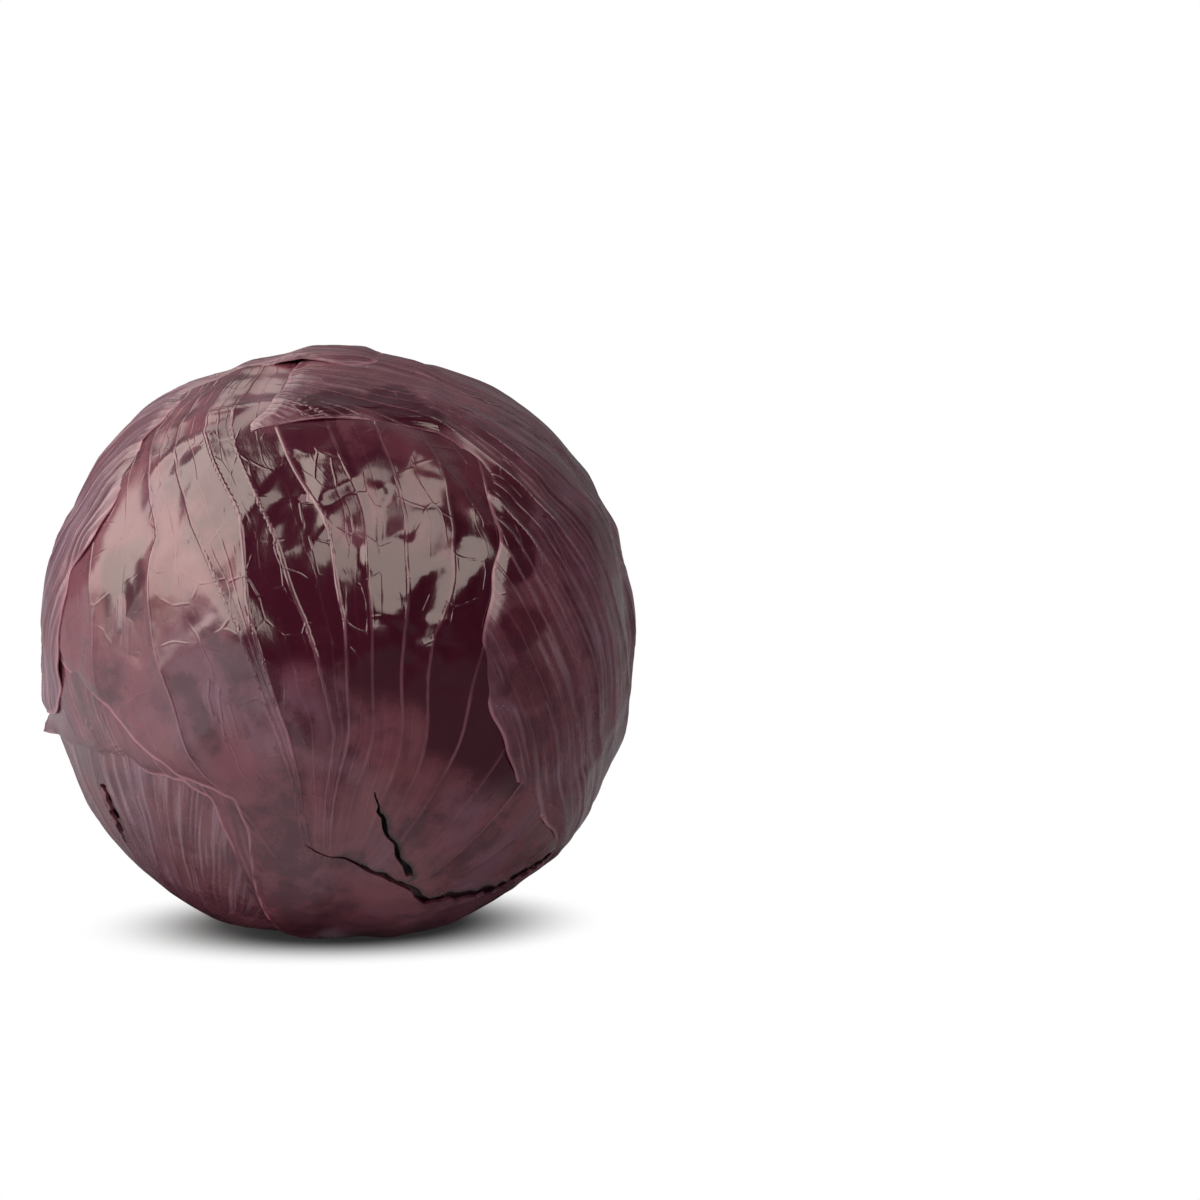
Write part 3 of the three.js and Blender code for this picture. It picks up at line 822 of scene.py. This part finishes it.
def packed_heart(head):
    """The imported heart: a ball under the first layer, with overlapping young leaves. Each is a
    step of the ball along its margin, and the stem's pocket is a pit around straight down."""
    directions, faces = sphere_grid(84)
    covers = head.covers(directions)
    form = head.form(directions) - HEART_TEAR_SINK * head.sink(-1, directions)
    base, _ = head.layer(0, directions, covers, form)
    steps = np.zeros(len(directions))
    for place, (azimuth, elevation) in enumerate(HEART_LEAVES):
        axes = axes_at(azimuth, elevation)
        angle, reach = polar_about(axes, directions)
        edge = 58.0 + 4.0 * np.sin(np.radians(3 * angle + 40 * place))
        steps += 0.22 * ease((edge - reach) / 3.0)
    ridges = 0.16 * smooth_noise(directions, head.radius, 12.0, head.settings.seed + 31)
    stem_low, stem_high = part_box("stem")
    stem_top = in_mm(stem_high[2])
    slope = (in_mm(stem_high[0] - stem_low[0]) / 2 + 0.9) / head.centre[2]
    from_axis = np.hypot(directions[:, 0], directions[:, 1]) / np.maximum(-directions[:, 2], 1e-3)
    pit = ease((slope * 1.12 - from_axis) / (slope * 0.12)) * (directions[:, 2] < 0)
    pit_radius = (head.centre[2] - stem_top - 1.5) / np.maximum(-directions[:, 2], 1e-3)
    radius = base - 1.7 + steps * 0.6 + ridges
    radius = radius * (1 - pit) + np.minimum(radius, pit_radius) * pit
    points = head.placed(directions, radius)
    piece = mesh_object("packed_heart_leaves", points, faces, {"steps": steps})
    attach(piece, "root")
    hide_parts("packed_heart")
    return piece


def cut_stem():
    """The stem: a disc grid for the cut face and one for the top, with a side between them that
    tapers towards the head's centre, all on the same points so that the surface is closed."""
    low, high = (np.array(corner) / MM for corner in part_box("stem"))
    radius, height = (high[0] - low[0]) / 2, high[2] - low[2]
    count, rows = 61, 40
    across, upward = disc_grid(count)
    share = np.hypot(across, upward)
    turn = np.arctan2(upward, across)

    def ring_radius(turn, z):
        """The radius at a turn and a height: a cone towards the head's centre, times one plus a
        slow wave of 2 and 3 lobes, plus nine faint leaf scars that twist upwards."""
        wave = STEM_WAVE * (np.cos(2 * turn + 0.6) + 0.5 * np.cos(3 * turn) - 1.5) / 1.5
        scars = 0.25 * np.sin(9 * turn + 0.35 * z) * ease(z / 4)
        return radius * (1 + wave) * (1 - z / in_mm(head_centre().z)) + scars

    def cap(z, lift):
        """A disc at a height, as wide as the stem inside its bevel and raised by `lift`."""
        reach = share * (ring_radius(turn, z) - STEM_BEVEL)
        return np.stack([reach * np.cos(turn), reach * np.sin(turn), z + lift], -1)

    rays = 0.10 * np.cos(26 * turn + 2 * np.sin(share * 7)) * ease(share * 3) * (1 - share ** 6)
    pith = 0.22 * ease((share - 0.15) / 0.6)
    tool = 0.05 * np.sin(across * 30 + upward * 9)
    bottom = cap(0.0, np.maximum(0.02, 0.18 + rays + tool - 0.18 * pith) * (1 - share ** 12))
    top = cap(height, -0.6 * share ** 4)
    border = np.concatenate([
        np.arange(count), np.arange(1, count) * count + count - 1,
        (count * count - 2) - np.arange(count - 1),
        np.arange(count - 2, 0, -1) * count])
    rim_turn = turn.ravel()[border]
    z = height * np.linspace(0.0, 1.0, rows)[1:-1, None]
    bevel = STEM_BEVEL * np.maximum(np.exp(-z / 0.7), np.exp(-(height - z) / 0.7))
    reach = ring_radius(rim_turn[None, :], z) - bevel
    side = np.stack([reach * np.cos(rim_turn), reach * np.sin(rim_turn), z + 0 * reach], -1)
    points = np.concatenate([bottom.reshape(-1, 3), top.reshape(-1, 3), side.reshape(-1, 3)])
    index = np.arange(count * count).reshape(count, count)
    cells = grid_cells(index).reshape(-1, 4)
    between = 2 * count * count + np.arange(len(border) * (rows - 2)).reshape(rows - 2, -1)
    rings = np.concatenate([border[None], between, border[None] + count * count])
    ahead = np.roll(rings, -1, axis=1)
    walls = np.stack([rings[:-1], ahead[:-1], ahead[1:], rings[1:]], -1).reshape(-1, 4)
    faces = np.concatenate([cells[:, ::-1], cells + count * count, walls])
    rim_share = np.concatenate([share.ravel(), share.ravel(), np.ones(side[..., 0].size) * 1.05])
    centre = (low + high) / 2 * np.array([1, 1, 0])
    piece = mesh_object("cut_stem", (points + centre) * MM, faces, {"from_axis": rim_share}, 40.0)
    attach(piece, "root")
    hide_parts("stem")
    return piece


class Wire:
    """A shader socket on which Python arithmetic adds Math nodes."""

    def __init__(self, net, socket):
        self.net = net
        self.socket = socket

    def math(self, operation, *values):
        """A Math node on wires and numbers."""
        node = self.net.node("ShaderNodeMath", {"operation": operation},
                             dict(enumerate(values)))
        return Wire(self.net, node.outputs[0])

    def __add__(self, other):
        return self.math("ADD", self, other)

    __radd__ = __add__

    def __sub__(self, other):
        return self.math("SUBTRACT", self, other)

    def __rsub__(self, other):
        return self.math("SUBTRACT", other, self)

    def __mul__(self, other):
        return self.math("MULTIPLY", self, other)

    __rmul__ = __mul__

    def least(self, other):
        """The smaller of the two."""
        return self.math("MINIMUM", self, other)

    def most(self, other):
        """The larger of the two."""
        return self.math("MAXIMUM", self, other)

    def size(self):
        """The value without its sign."""
        return self.math("ABSOLUTE", self)

    def fraction(self):
        """What is left over above a whole number."""
        return self.math("FRACT", self)


class Net:
    """A node tree under construction."""

    def __init__(self, tree):
        self.tree = tree
        tree.nodes.clear()

    def node(self, kind, settings=None, inputs=None):
        """Adds a node: its settings first, then the values or links of its sockets."""
        node = self.tree.nodes.new(kind)
        for name, value in (settings or {}).items():
            setattr(node, name, value)
        for name, value in (inputs or {}).items():
            target = node.inputs[name]
            if isinstance(value, Wire):
                self.tree.links.new(value.socket, target)
            elif hasattr(value, "is_linked"):
                self.tree.links.new(value, target)
            else:
                target.default_value = value
        return node

    def wire(self, kind, output, settings=None, inputs=None):
        """Adds a node and gives one of its outputs."""
        return Wire(self, self.node(kind, settings, inputs).outputs[output])

    def smooth(self, value, start, end, low=0.0, high=1.0):
        """Eases from `low` at `start` to `high` at `end`."""
        return self.wire("ShaderNodeMapRange", "Result", {"interpolation_type": "SMOOTHSTEP"},
                         {"Value": value, "From Min": start, "From Max": end,
                          "To Min": low, "To Max": high})

    def mix(self, factor, first, second):
        """A colour between two colours, which are wires or three numbers."""
        first, second = (colour if isinstance(colour, Wire) else (*colour, 1.0)
                         for colour in (first, second))
        return self.wire("ShaderNodeMix", 2, {"data_type": "RGBA"},
                         {0: factor, 6: first, 7: second})

    def noise(self, vector, scale, detail=2.0, roughness=0.5):
        """Noise from 0 to 1, with `scale` bumps in a metre."""
        return self.wire("ShaderNodeTexNoise", 0, {}, {
            "Vector": vector, "Scale": scale, "Detail": detail, "Roughness": roughness})

    def place(self):
        """The place on the object, in metres."""
        return self.wire("ShaderNodeTexCoord", "Object")

    def attribute(self, name, output="Fac"):
        """A number that is stored on the mesh's points."""
        return self.wire("ShaderNodeAttribute", output, {"attribute_name": name})

    def parts_of(self, vector):
        """The three numbers of a vector."""
        node = self.node("ShaderNodeSeparateXYZ", {}, {0: vector})
        return [Wire(self, output) for output in node.outputs]

    def ray_kinds(self):
        """1 for what the camera sees directly, and 1 for what glossy surfaces mirror."""
        return [self.wire("ShaderNodeLightPath", f"Is {kind} Ray")
                for kind in ("Camera", "Glossy")]

    def parts(self, name):
        """The three numbers of a vector attribute."""
        return self.parts_of(self.attribute(name, "Vector"))

    def moved(self, vector, by):
        """A place moved by an amount."""
        return self.wire("ShaderNodeVectorMath", 0, {"operation": "ADD"}, {0: vector, 1: by})

    def scaled(self, vector, scale, shift=(0.0, 0.0, 0.0)):
        """A place stretched about the origin and then shifted."""
        return self.wire("ShaderNodeMapping", 0, {}, {
            "Vector": vector, "Location": shift, "Scale": scale})

    def surface(self, colour, roughness, bump, constants):
        """Ends a material: the shader, with a bump made of height in millimetres and the
        settings that are the same all over."""
        normal = self.wire("ShaderNodeBump", "Normal", {}, {
            "Height": bump, "Strength": 1.0, "Distance": MM})
        shader = self.node("ShaderNodeBsdfPrincipled", {}, {
            "Base Color": colour, "Roughness": roughness, "Normal": normal, **constants})
        self.node("ShaderNodeOutputMaterial", {}, {"Surface": shader.outputs[0]})


MOTTLE_COLOUR = (0.2, 0.08, 0.16)
FIBRE_COLOUR = (0.62, 0.43, 0.25)
BLOTCH_COLOUR = (0.55, 0.33, 0.17)
BROWNED_COLOUR = (0.36, 0.20, 0.12)
STEM_SIDE_COLOUR = (0.40, 0.24, 0.26)
SHADED_FLOOR_COLOUR = (0.22, 0.22, 0.22)


def new_net(name):
    """A new material and its empty node tree."""
    material = bpy.data.materials.new(name)
    material.use_nodes = True
    return material, Net(material.node_tree)


def leaf_skin(settings):
    """Waxy leaf skin: dark where polished, dusty where the bloom is left, with pale ribs, a fine
    net of veins, a reddish rim, pale stalks, painted shade beside the ribs, painted highlight and
    shade streaks on dusty leaves, and near-black painted shade along tears."""
    material, net = new_net("waxy_leaf_skin")
    place = net.place()
    phase, gap, fork = net.parts("ribs")
    rim, stalk, torn = net.parts("places")
    run, shown, bare = net.parts("run")
    strong, dusty, _ = net.parts("finish")

    def drawn_out(across, along):
        """A flat place for patterns that are drawn out along the ribs."""
        return net.wire("ShaderNodeCombineXYZ", 0, {}, {0: phase * across, 1: run * along, 2: 0.0})

    between_ribs = phase.fraction()
    to_rib = between_ribs.least(1 - between_ribs) * gap
    to_fork = (between_ribs - fork).size() * gap
    rib_line = net.smooth(to_rib, 0.1, 0.6, 1.0, 0.0)
    fork_line = net.smooth(to_fork, 0.1, 0.45, 1.0, 0.0) * net.smooth(fork, 0.02, 0.12)
    thin_place = between_ribs + (net.noise(place, 60.0, 1.0) - 0.5) * 0.5
    between = (thin_place - 0.5).size() * gap
    thin_line = net.smooth(between, 0.05, 0.35, 0.35, 0.0) * (1 - bare * 0.8)
    lines = rib_line.most(0.7 * fork_line).most(thin_line) * shown * strong
    # Painted shade: darker grooves on both sides of the raised ribs.
    rib_flank_shade = net.smooth(to_rib, 0.5, 2.4, 1.0, 0.0) * shown * strong

    rib_place = net.moved(drawn_out(1.7, 0.1), net.noise(place, 90.0, 1.0) * 0.35)
    net_edge = net.wire("ShaderNodeTexVoronoi", "Distance", {
        "voronoi_dimensions": "2D", "feature": "DISTANCE_TO_EDGE"},
        {"Vector": rib_place, "Scale": 1.0, "Randomness": 0.85})
    broken = net.smooth(net.noise(place, 120.0, 2.0), 0.42, 0.56)
    veins = net.smooth(net_edge, 0.0, 0.05, 1.0, 0.0) * shown * broken * (1 - dusty)

    patches = net.noise(place, 26.0, 3.0, 0.55)
    streaks = net.noise(drawn_out(0.8, 0.03), 1.6, 2.0)
    speckle = net.noise(place, 700.0, 2.0, 0.6)
    streaks = (streaks - 0.5) * shown
    bent = net.moved(place, (net.noise(place, 60.0, 2.0) - 0.5) * 0.012)
    cells = net.parts_of(net.wire("ShaderNodeTexVoronoi", "Color", {"feature": "SMOOTH_F1"}, {
        "Vector": bent, "Scale": 85.0, "Smoothness": 0.3}))
    mottle = net.noise(place, 170.0, 4.0, 0.65)
    tones = patches * 0.5 + streaks * 0.5 + (cells[0] - 0.5) * 0.13 + (mottle - 0.5) * 0.38
    bloom = net.smooth(tones, 0.11, 0.36, 0.0, 1.0) * (1 - bare)
    bloom = bloom + (1 - bloom) * dusty * 0.4
    warm = net.smooth(net.noise(place, 34.0, 3.0, 0.6), 0.45, 0.62)
    cool = net.smooth(net.noise(net.scaled(place, (1.0, 1.0, 0.6), (0.4, 0.1, 0.3)),
                                42.0, 3.0, 0.6), 0.47, 0.64)
    scuffs = net.noise(drawn_out(5.0, 0.16), 2.0, 3.0, 0.6)
    worn = net.smooth(scuffs, 0.60, 0.72) * 0.45
    drawn = net.noise(drawn_out(6.0, 0.025), 1.0, 2.0, 0.5)
    # Painted highlight and painted shade: pale and dark streaks along the ribs of dusty leaves
    # stand in for light and shade on fine ridges.
    streak_light_and_shade = net.smooth(dusty, 0.15, 0.6) * shown * net.smooth(patches, 0.35, 0.6, 0.4, 1.0)
    pale = net.smooth(drawn, 0.50, 0.66) * streak_light_and_shade * 0.55
    deep = net.smooth(drawn, 0.34, 0.48, 1.0, 0.0) * streak_light_and_shade * 0.5
    faint = net.smooth(net.noise(place, 55.0, 1.0), 0.35, 0.6, 0.25, 0.8)
    faint_rim = net.smooth(rim, 0.3, 1.1, 1.0, 0.0) * faint * 0.7
    # The polished colour is bare skin, and it is also the painted shade beside ribs and in the
    # dark streaks.
    skin = settings.polished_and_shade_colour
    for share, colour in (
        (bloom, settings.bloom_colour),
        (warm * bloom * 0.55, settings.warm_colour),
        (cool * bloom * 0.6 + dusty * 0.5, settings.cool_colour),
        (net.smooth(speckle, 0.62, 0.75) * 0.08, settings.rib_colour),
        (veins * (0.10 - 0.07 * bare), settings.rib_colour),
        # Worn scuffs, and painted shade in the grooves beside the ribs, both in the polished
        # colour.
        (worn.most(rib_flank_shade * broken * 0.5), settings.polished_and_shade_colour),
        # Painted highlight streaks, then painted shade streaks.
        (pale, settings.streak_highlight_colour),
        (deep, settings.polished_and_shade_colour),
        (lines * faint, settings.rib_colour),
        (net.smooth(rim, 0.3, 1.1, 0.2, 0.0) + faint_rim, settings.margin_colour),
        (net.smooth(stalk, 0.1, 0.9, 0.0, 0.85), settings.stalk_colour),
        # Painted shade: near-black where a tear's gap shows the leaf below, and along the tear's
        # lips.
        (net.smooth(torn, 0.35, 0.95, 0.0, 0.92), settings.tear_gap_shade_colour),
    ):
        skin = net.mix(share, skin, colour)

    roughness = 0.135 + bloom * 0.07 + dusty * 0.18 + net.smooth(torn, 0.3, 0.9) * 0.3
    up = net.parts_of(place)[2]
    crumpled = net.noise(place, 62.0, 1.5) * net.smooth(up, 0.108, 0.132)
    height = lines * 0.16 + veins * 0.06 + patches * 0.15 + crumpled * 0.4 \
        + net.noise(place, 130.0, 2.0) * 0.10 + scuffs * 0.03 + (pale - deep) * 0.06
    net.surface(skin, roughness, height, {"IOR": 1.7, "Specular IOR Level": 1.0})
    return material


def heart_skin(settings):
    """Young heart leaf: smooth, purple, paler on the steps."""
    material, net = new_net("heart_leaf_skin")
    place = net.place()
    steps = net.attribute("steps")
    mottle = net.noise(place, 60.0, 3.0)
    skin = net.mix(net.smooth(mottle, 0.4, 0.65) * 0.5, settings.heart_colour, MOTTLE_COLOUR)
    skin = net.mix(net.smooth(steps, 0.1, 0.9) * 0.3, skin, settings.stalk_colour)
    net.surface(skin, 0.3 + mottle * 0.15, mottle * 0.2, {})
    return material


def stem_flesh(settings):
    """Cut stem: cream flesh with fibres from the middle to the rim, browned at its edge."""
    material, net = new_net("cut_stem_flesh")
    place = net.place()
    from_axis = net.attribute("from_axis")
    fibre = net.noise(net.scaled(place, (1.0, 1.0, 0.15)), 900.0, 4.0, 0.7)
    blotch = net.noise(place, 140.0, 3.0, 0.6)
    browned = net.smooth(from_axis + blotch * 0.12, 0.9, 1.06)
    skin = settings.flesh_colour
    for share, colour in (
        (net.smooth(fibre, 0.4, 0.7) * 0.35, FIBRE_COLOUR),
        (net.smooth(blotch, 0.5, 0.72) * 0.45, BLOTCH_COLOUR),
        (browned * 0.7, BROWNED_COLOUR),
        (net.smooth(from_axis, 1.02, 1.04) * 0.5, STEM_SIDE_COLOUR),
    ):
        skin = net.mix(share, skin, colour)
    net.surface(skin, 0.55 + fibre * 0.25, fibre * 0.22 + blotch * 0.15,
                {"Specular IOR Level": 0.35})
    return material


class CABBAGE_OT_wrapper_leaves(bpy.types.Operator):
    """Builds the twelve wrapper leaves"""

    bl_idname = "cabbage.wrapper_leaves"
    bl_label = "Wrapper Leaves"

    def execute(self, context):
        settings = context.scene.cabbage
        head = Head(settings)
        material = leaf_skin(settings)
        for leaf in head.leaves:
            wrapper_leaf(head, leaf).data.materials.append(material)
        return {"FINISHED"}


class CABBAGE_OT_packed_heart(bpy.types.Operator):
    """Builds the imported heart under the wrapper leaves"""

    bl_idname = "cabbage.packed_heart"
    bl_label = "Packed Heart"

    def execute(self, context):
        settings = context.scene.cabbage
        packed_heart(Head(settings)).data.materials.append(heart_skin(settings))
        return {"FINISHED"}


class CABBAGE_OT_cut_stem(bpy.types.Operator):
    """Builds the cut stem"""

    bl_idname = "cabbage.cut_stem"
    bl_label = "Cut Stem"

    def execute(self, context):
        cut_stem().data.materials.append(stem_flesh(context.scene.cabbage))
        return {"FINISHED"}


CAMERA_DISTANCE = 0.763
CAMERA_ELEVATION = 8.0
LENS = 85.0
SENSOR = 36.0
HEAD_ASIDE = -0.2167          # where the head's centre falls, in frame widths from the middle
HEAD_ABOVE = -0.0348


def aimed_camera(centre):
    """The camera in front of the head, turned so that the head falls left of the middle. The
    pitch solves z = y·cos + d·sin for the head's direction in the frame, the yaw follows."""
    data = bpy.data.cameras.new("camera")
    data.lens = LENS
    data.sensor_width = SENSOR
    data.clip_start, data.clip_end = 0.01, 50.0
    camera = bpy.data.objects.new("camera", data)
    level = math.radians(CAMERA_ELEVATION)
    back = Vector((0.0, -math.cos(level), math.sin(level)))
    camera.location = centre + back * CAMERA_DISTANCE
    aside, above, ahead = Vector((HEAD_ASIDE, HEAD_ABOVE, LENS / SENSOR)).normalized()
    pitch = math.asin(-math.sin(level) / math.hypot(above, ahead)) - math.atan2(above, ahead)
    yaw = math.atan2(aside, ahead * math.cos(pitch) - above * math.sin(pitch))
    camera.rotation_euler = Euler((math.pi / 2 + pitch, 0.0, yaw))
    bpy.context.scene.collection.objects.link(camera)
    bpy.context.scene.camera = camera


LIGHT_COLOURS = {"glow": (1.0, 0.97, 0.94), "gleam": (1.0, 0.87, 0.78)}
GLEAM_FORWARD = 0.05          # how far the mirrored light stands before the other
# Azimuth and elevation seen from the head, distance, width, height and roll.
LIGHTS = {
    "left": (-76, 38, 1.2, 1.35, 1.45, 15),
    "right": (33, 44, 1.3, 1.20, 0.94, 17),
    "back": (-150, 52, 1.2, 0.60, 0.60, 0),
}


def soft_light(side, centre, glow, gleam):
    """Two rectangular area lights facing the head, rolled about that line, one just before
    the other: one with brightness `glow`, which lights matt surfaces, and one with brightness
    `gleam`, which glossy ones mirror. The power of each is brightness·π·area."""
    azimuth, elevation, distance, width, height, roll = LIGHTS[side]
    away = Vector(direction_of(azimuth, elevation))
    for label, brightness in (("glow", glow), ("gleam", gleam)):
        if not brightness:
            continue
        data = bpy.data.lights.new(f"{side}_light_{label}", "AREA")
        data.shape = "RECTANGLE"
        data.size, data.size_y = width, height
        data.energy = brightness * math.pi * width * height
        data.color = LIGHT_COLOURS[label]
        light = bpy.data.objects.new(f"{side}_light_{label}", data)
        light.visible_diffuse = label == "glow"
        light.visible_glossy = label == "gleam"
        light.location = centre + away * (distance - (GLEAM_FORWARD if label == "gleam" else 0.0))
        facing = away.to_track_quat("Z", "Y").to_matrix()
        light.rotation_euler = (facing @ Matrix.Rotation(math.radians(roll), 3, "Z")).to_euler()
        bpy.context.scene.collection.objects.link(light)


def pale_floor(settings):
    """A round floor that keeps the shadow near the cabbage and goes to white further out. In
    reflections it is dark near the cabbage, and further out it has 0.55 of the brightness of
    white at the left, 0.30 at the right, and a fifth of those towards the front and right."""
    turn = np.linspace(0, 2 * np.pi, 96, endpoint=False)
    rings = np.array([0.0, 0.3, 0.8, 3.0, 12.0])
    points = np.stack([rings[:, None] * np.cos(turn), rings[:, None] * np.sin(turn),
                       0 * rings[:, None] * turn], -1).reshape(-1, 3)
    index = np.arange(len(rings) * len(turn)).reshape(len(rings), -1)
    ahead = np.roll(index, -1, axis=1)
    faces = np.stack([index[:-1], index[1:], ahead[1:], ahead[:-1]], -1).reshape(-1, 4)
    floor = mesh_object("floor", points, faces, {})
    material, net = new_net("pale_floor")
    place = net.place()
    away = net.wire("ShaderNodeVectorMath", "Value", {"operation": "LENGTH"},
                    {0: net.scaled(place, (1.0, 1.5, 1.0))})
    near_by = net.smooth(away, 0.030, 0.072, 0.02, 1.0)
    across, back, _ = net.parts_of(place)
    in_light = net.smooth(away, 0.045, 0.12, 0.03, 1.0) \
        * net.smooth(across, -0.20, -0.08, 0.55, 0.30) \
        * net.smooth(across - back, 0.04, 0.18, 1.0, 0.2)
    seen, mirrored = net.ray_kinds()
    seen = seen * near_by
    # Painted contact shadow: the floor's own colour darkens to SHADED_FLOOR_COLOUR near the
    # cabbage.
    colour = net.mix(net.smooth(away, 0.02, 0.09), SHADED_FLOOR_COLOUR, settings.floor_colour)
    matt = net.node("ShaderNodeBsdfDiffuse", {}, {"Color": colour})
    glow = net.node("ShaderNodeEmission", {}, {
        "Color": (1, 1, 1, 1), "Strength": 1 - mirrored * (1 - in_light)})
    mixed = net.node("ShaderNodeMixShader", {}, {
        0: seen.most(mirrored), 1: matt.outputs[0], 2: glow.outputs[0]})
    net.node("ShaderNodeOutputMaterial", {}, {"Surface": mixed.outputs[0]})
    floor.data.materials.append(material)


def studio_world(settings):
    """White behind the cabbage, light from all round that is six times as strong from the left
    as from the right, and for reflections a studio that is dim behind the head and nearly
    dark in front of it."""
    world = bpy.data.worlds.new("studio")
    bpy.context.scene.world = world
    world.use_nodes = True
    net = Net(world.node_tree)
    seen, mirrored = net.ray_kinds()
    across, back, _ = net.parts_of(net.wire("ShaderNodeTexCoord", "Generated"))
    studio = net.smooth(back - across * 0.35, -0.1, 0.5, 0.02, 0.17)
    room = net.smooth(across, -0.2, 0.8, 1.2, 0.2) * settings.room_light
    lit = mirrored * studio + (1 - mirrored) * room
    strength = seen + (1 - seen) * lit
    glow = net.node("ShaderNodeBackground", {}, {"Color": (1, 1, 1, 1), "Strength": strength})
    net.node("ShaderNodeOutputWorld", {}, {"Surface": glow.outputs[0]})


class CABBAGE_OT_stage(bpy.types.Operator):
    """Sets up the camera, the floor and the soft studio lights"""

    bl_idname = "cabbage.stage"
    bl_label = "Stage"

    def execute(self, context):
        settings = context.scene.cabbage
        centre = head_centre()
        aimed_camera(centre)
        soft_light("left", centre, settings.left_light, settings.left_gleam)
        soft_light("right", centre, settings.right_light, settings.right_gleam)
        soft_light("back", centre, 0.0, settings.back_gleam)
        pale_floor(settings)
        studio_world(settings)
        context.scene.view_settings.view_transform = "Standard"
        return {"FINISHED"}


class CABBAGE_PT_panel(bpy.types.Panel):
    """Lists the cabbage's pieces and settings"""

    bl_label = "Red Cabbage"
    bl_idname = "CABBAGE_PT_panel"
    bl_space_type = "VIEW_3D"
    bl_region_type = "UI"
    bl_category = "Cabbage"

    def draw(self, context):
        for name in CabbageSettings.__annotations__:
            self.layout.prop(context.scene.cabbage, name)
        for operator in OPERATORS:
            self.layout.operator(operator.bl_idname)


OPERATORS = (CABBAGE_OT_wrapper_leaves, CABBAGE_OT_packed_heart, CABBAGE_OT_cut_stem,
             CABBAGE_OT_stage)
CLASSES = (CabbageSettings, *OPERATORS, CABBAGE_PT_panel)


def register():
    for kind in CLASSES:
        bpy.utils.register_class(kind)
    bpy.types.Scene.cabbage = PointerProperty(type=CabbageSettings)


def unregister():
    del bpy.types.Scene.cabbage
    for kind in reversed(CLASSES):
        bpy.utils.unregister_class(kind)


def main():
    register()
    bpy.ops.cabbage.wrapper_leaves()
    bpy.ops.cabbage.packed_heart()
    bpy.ops.cabbage.cut_stem()
    bpy.ops.cabbage.stage()


if __name__ == "__main__":
    main()
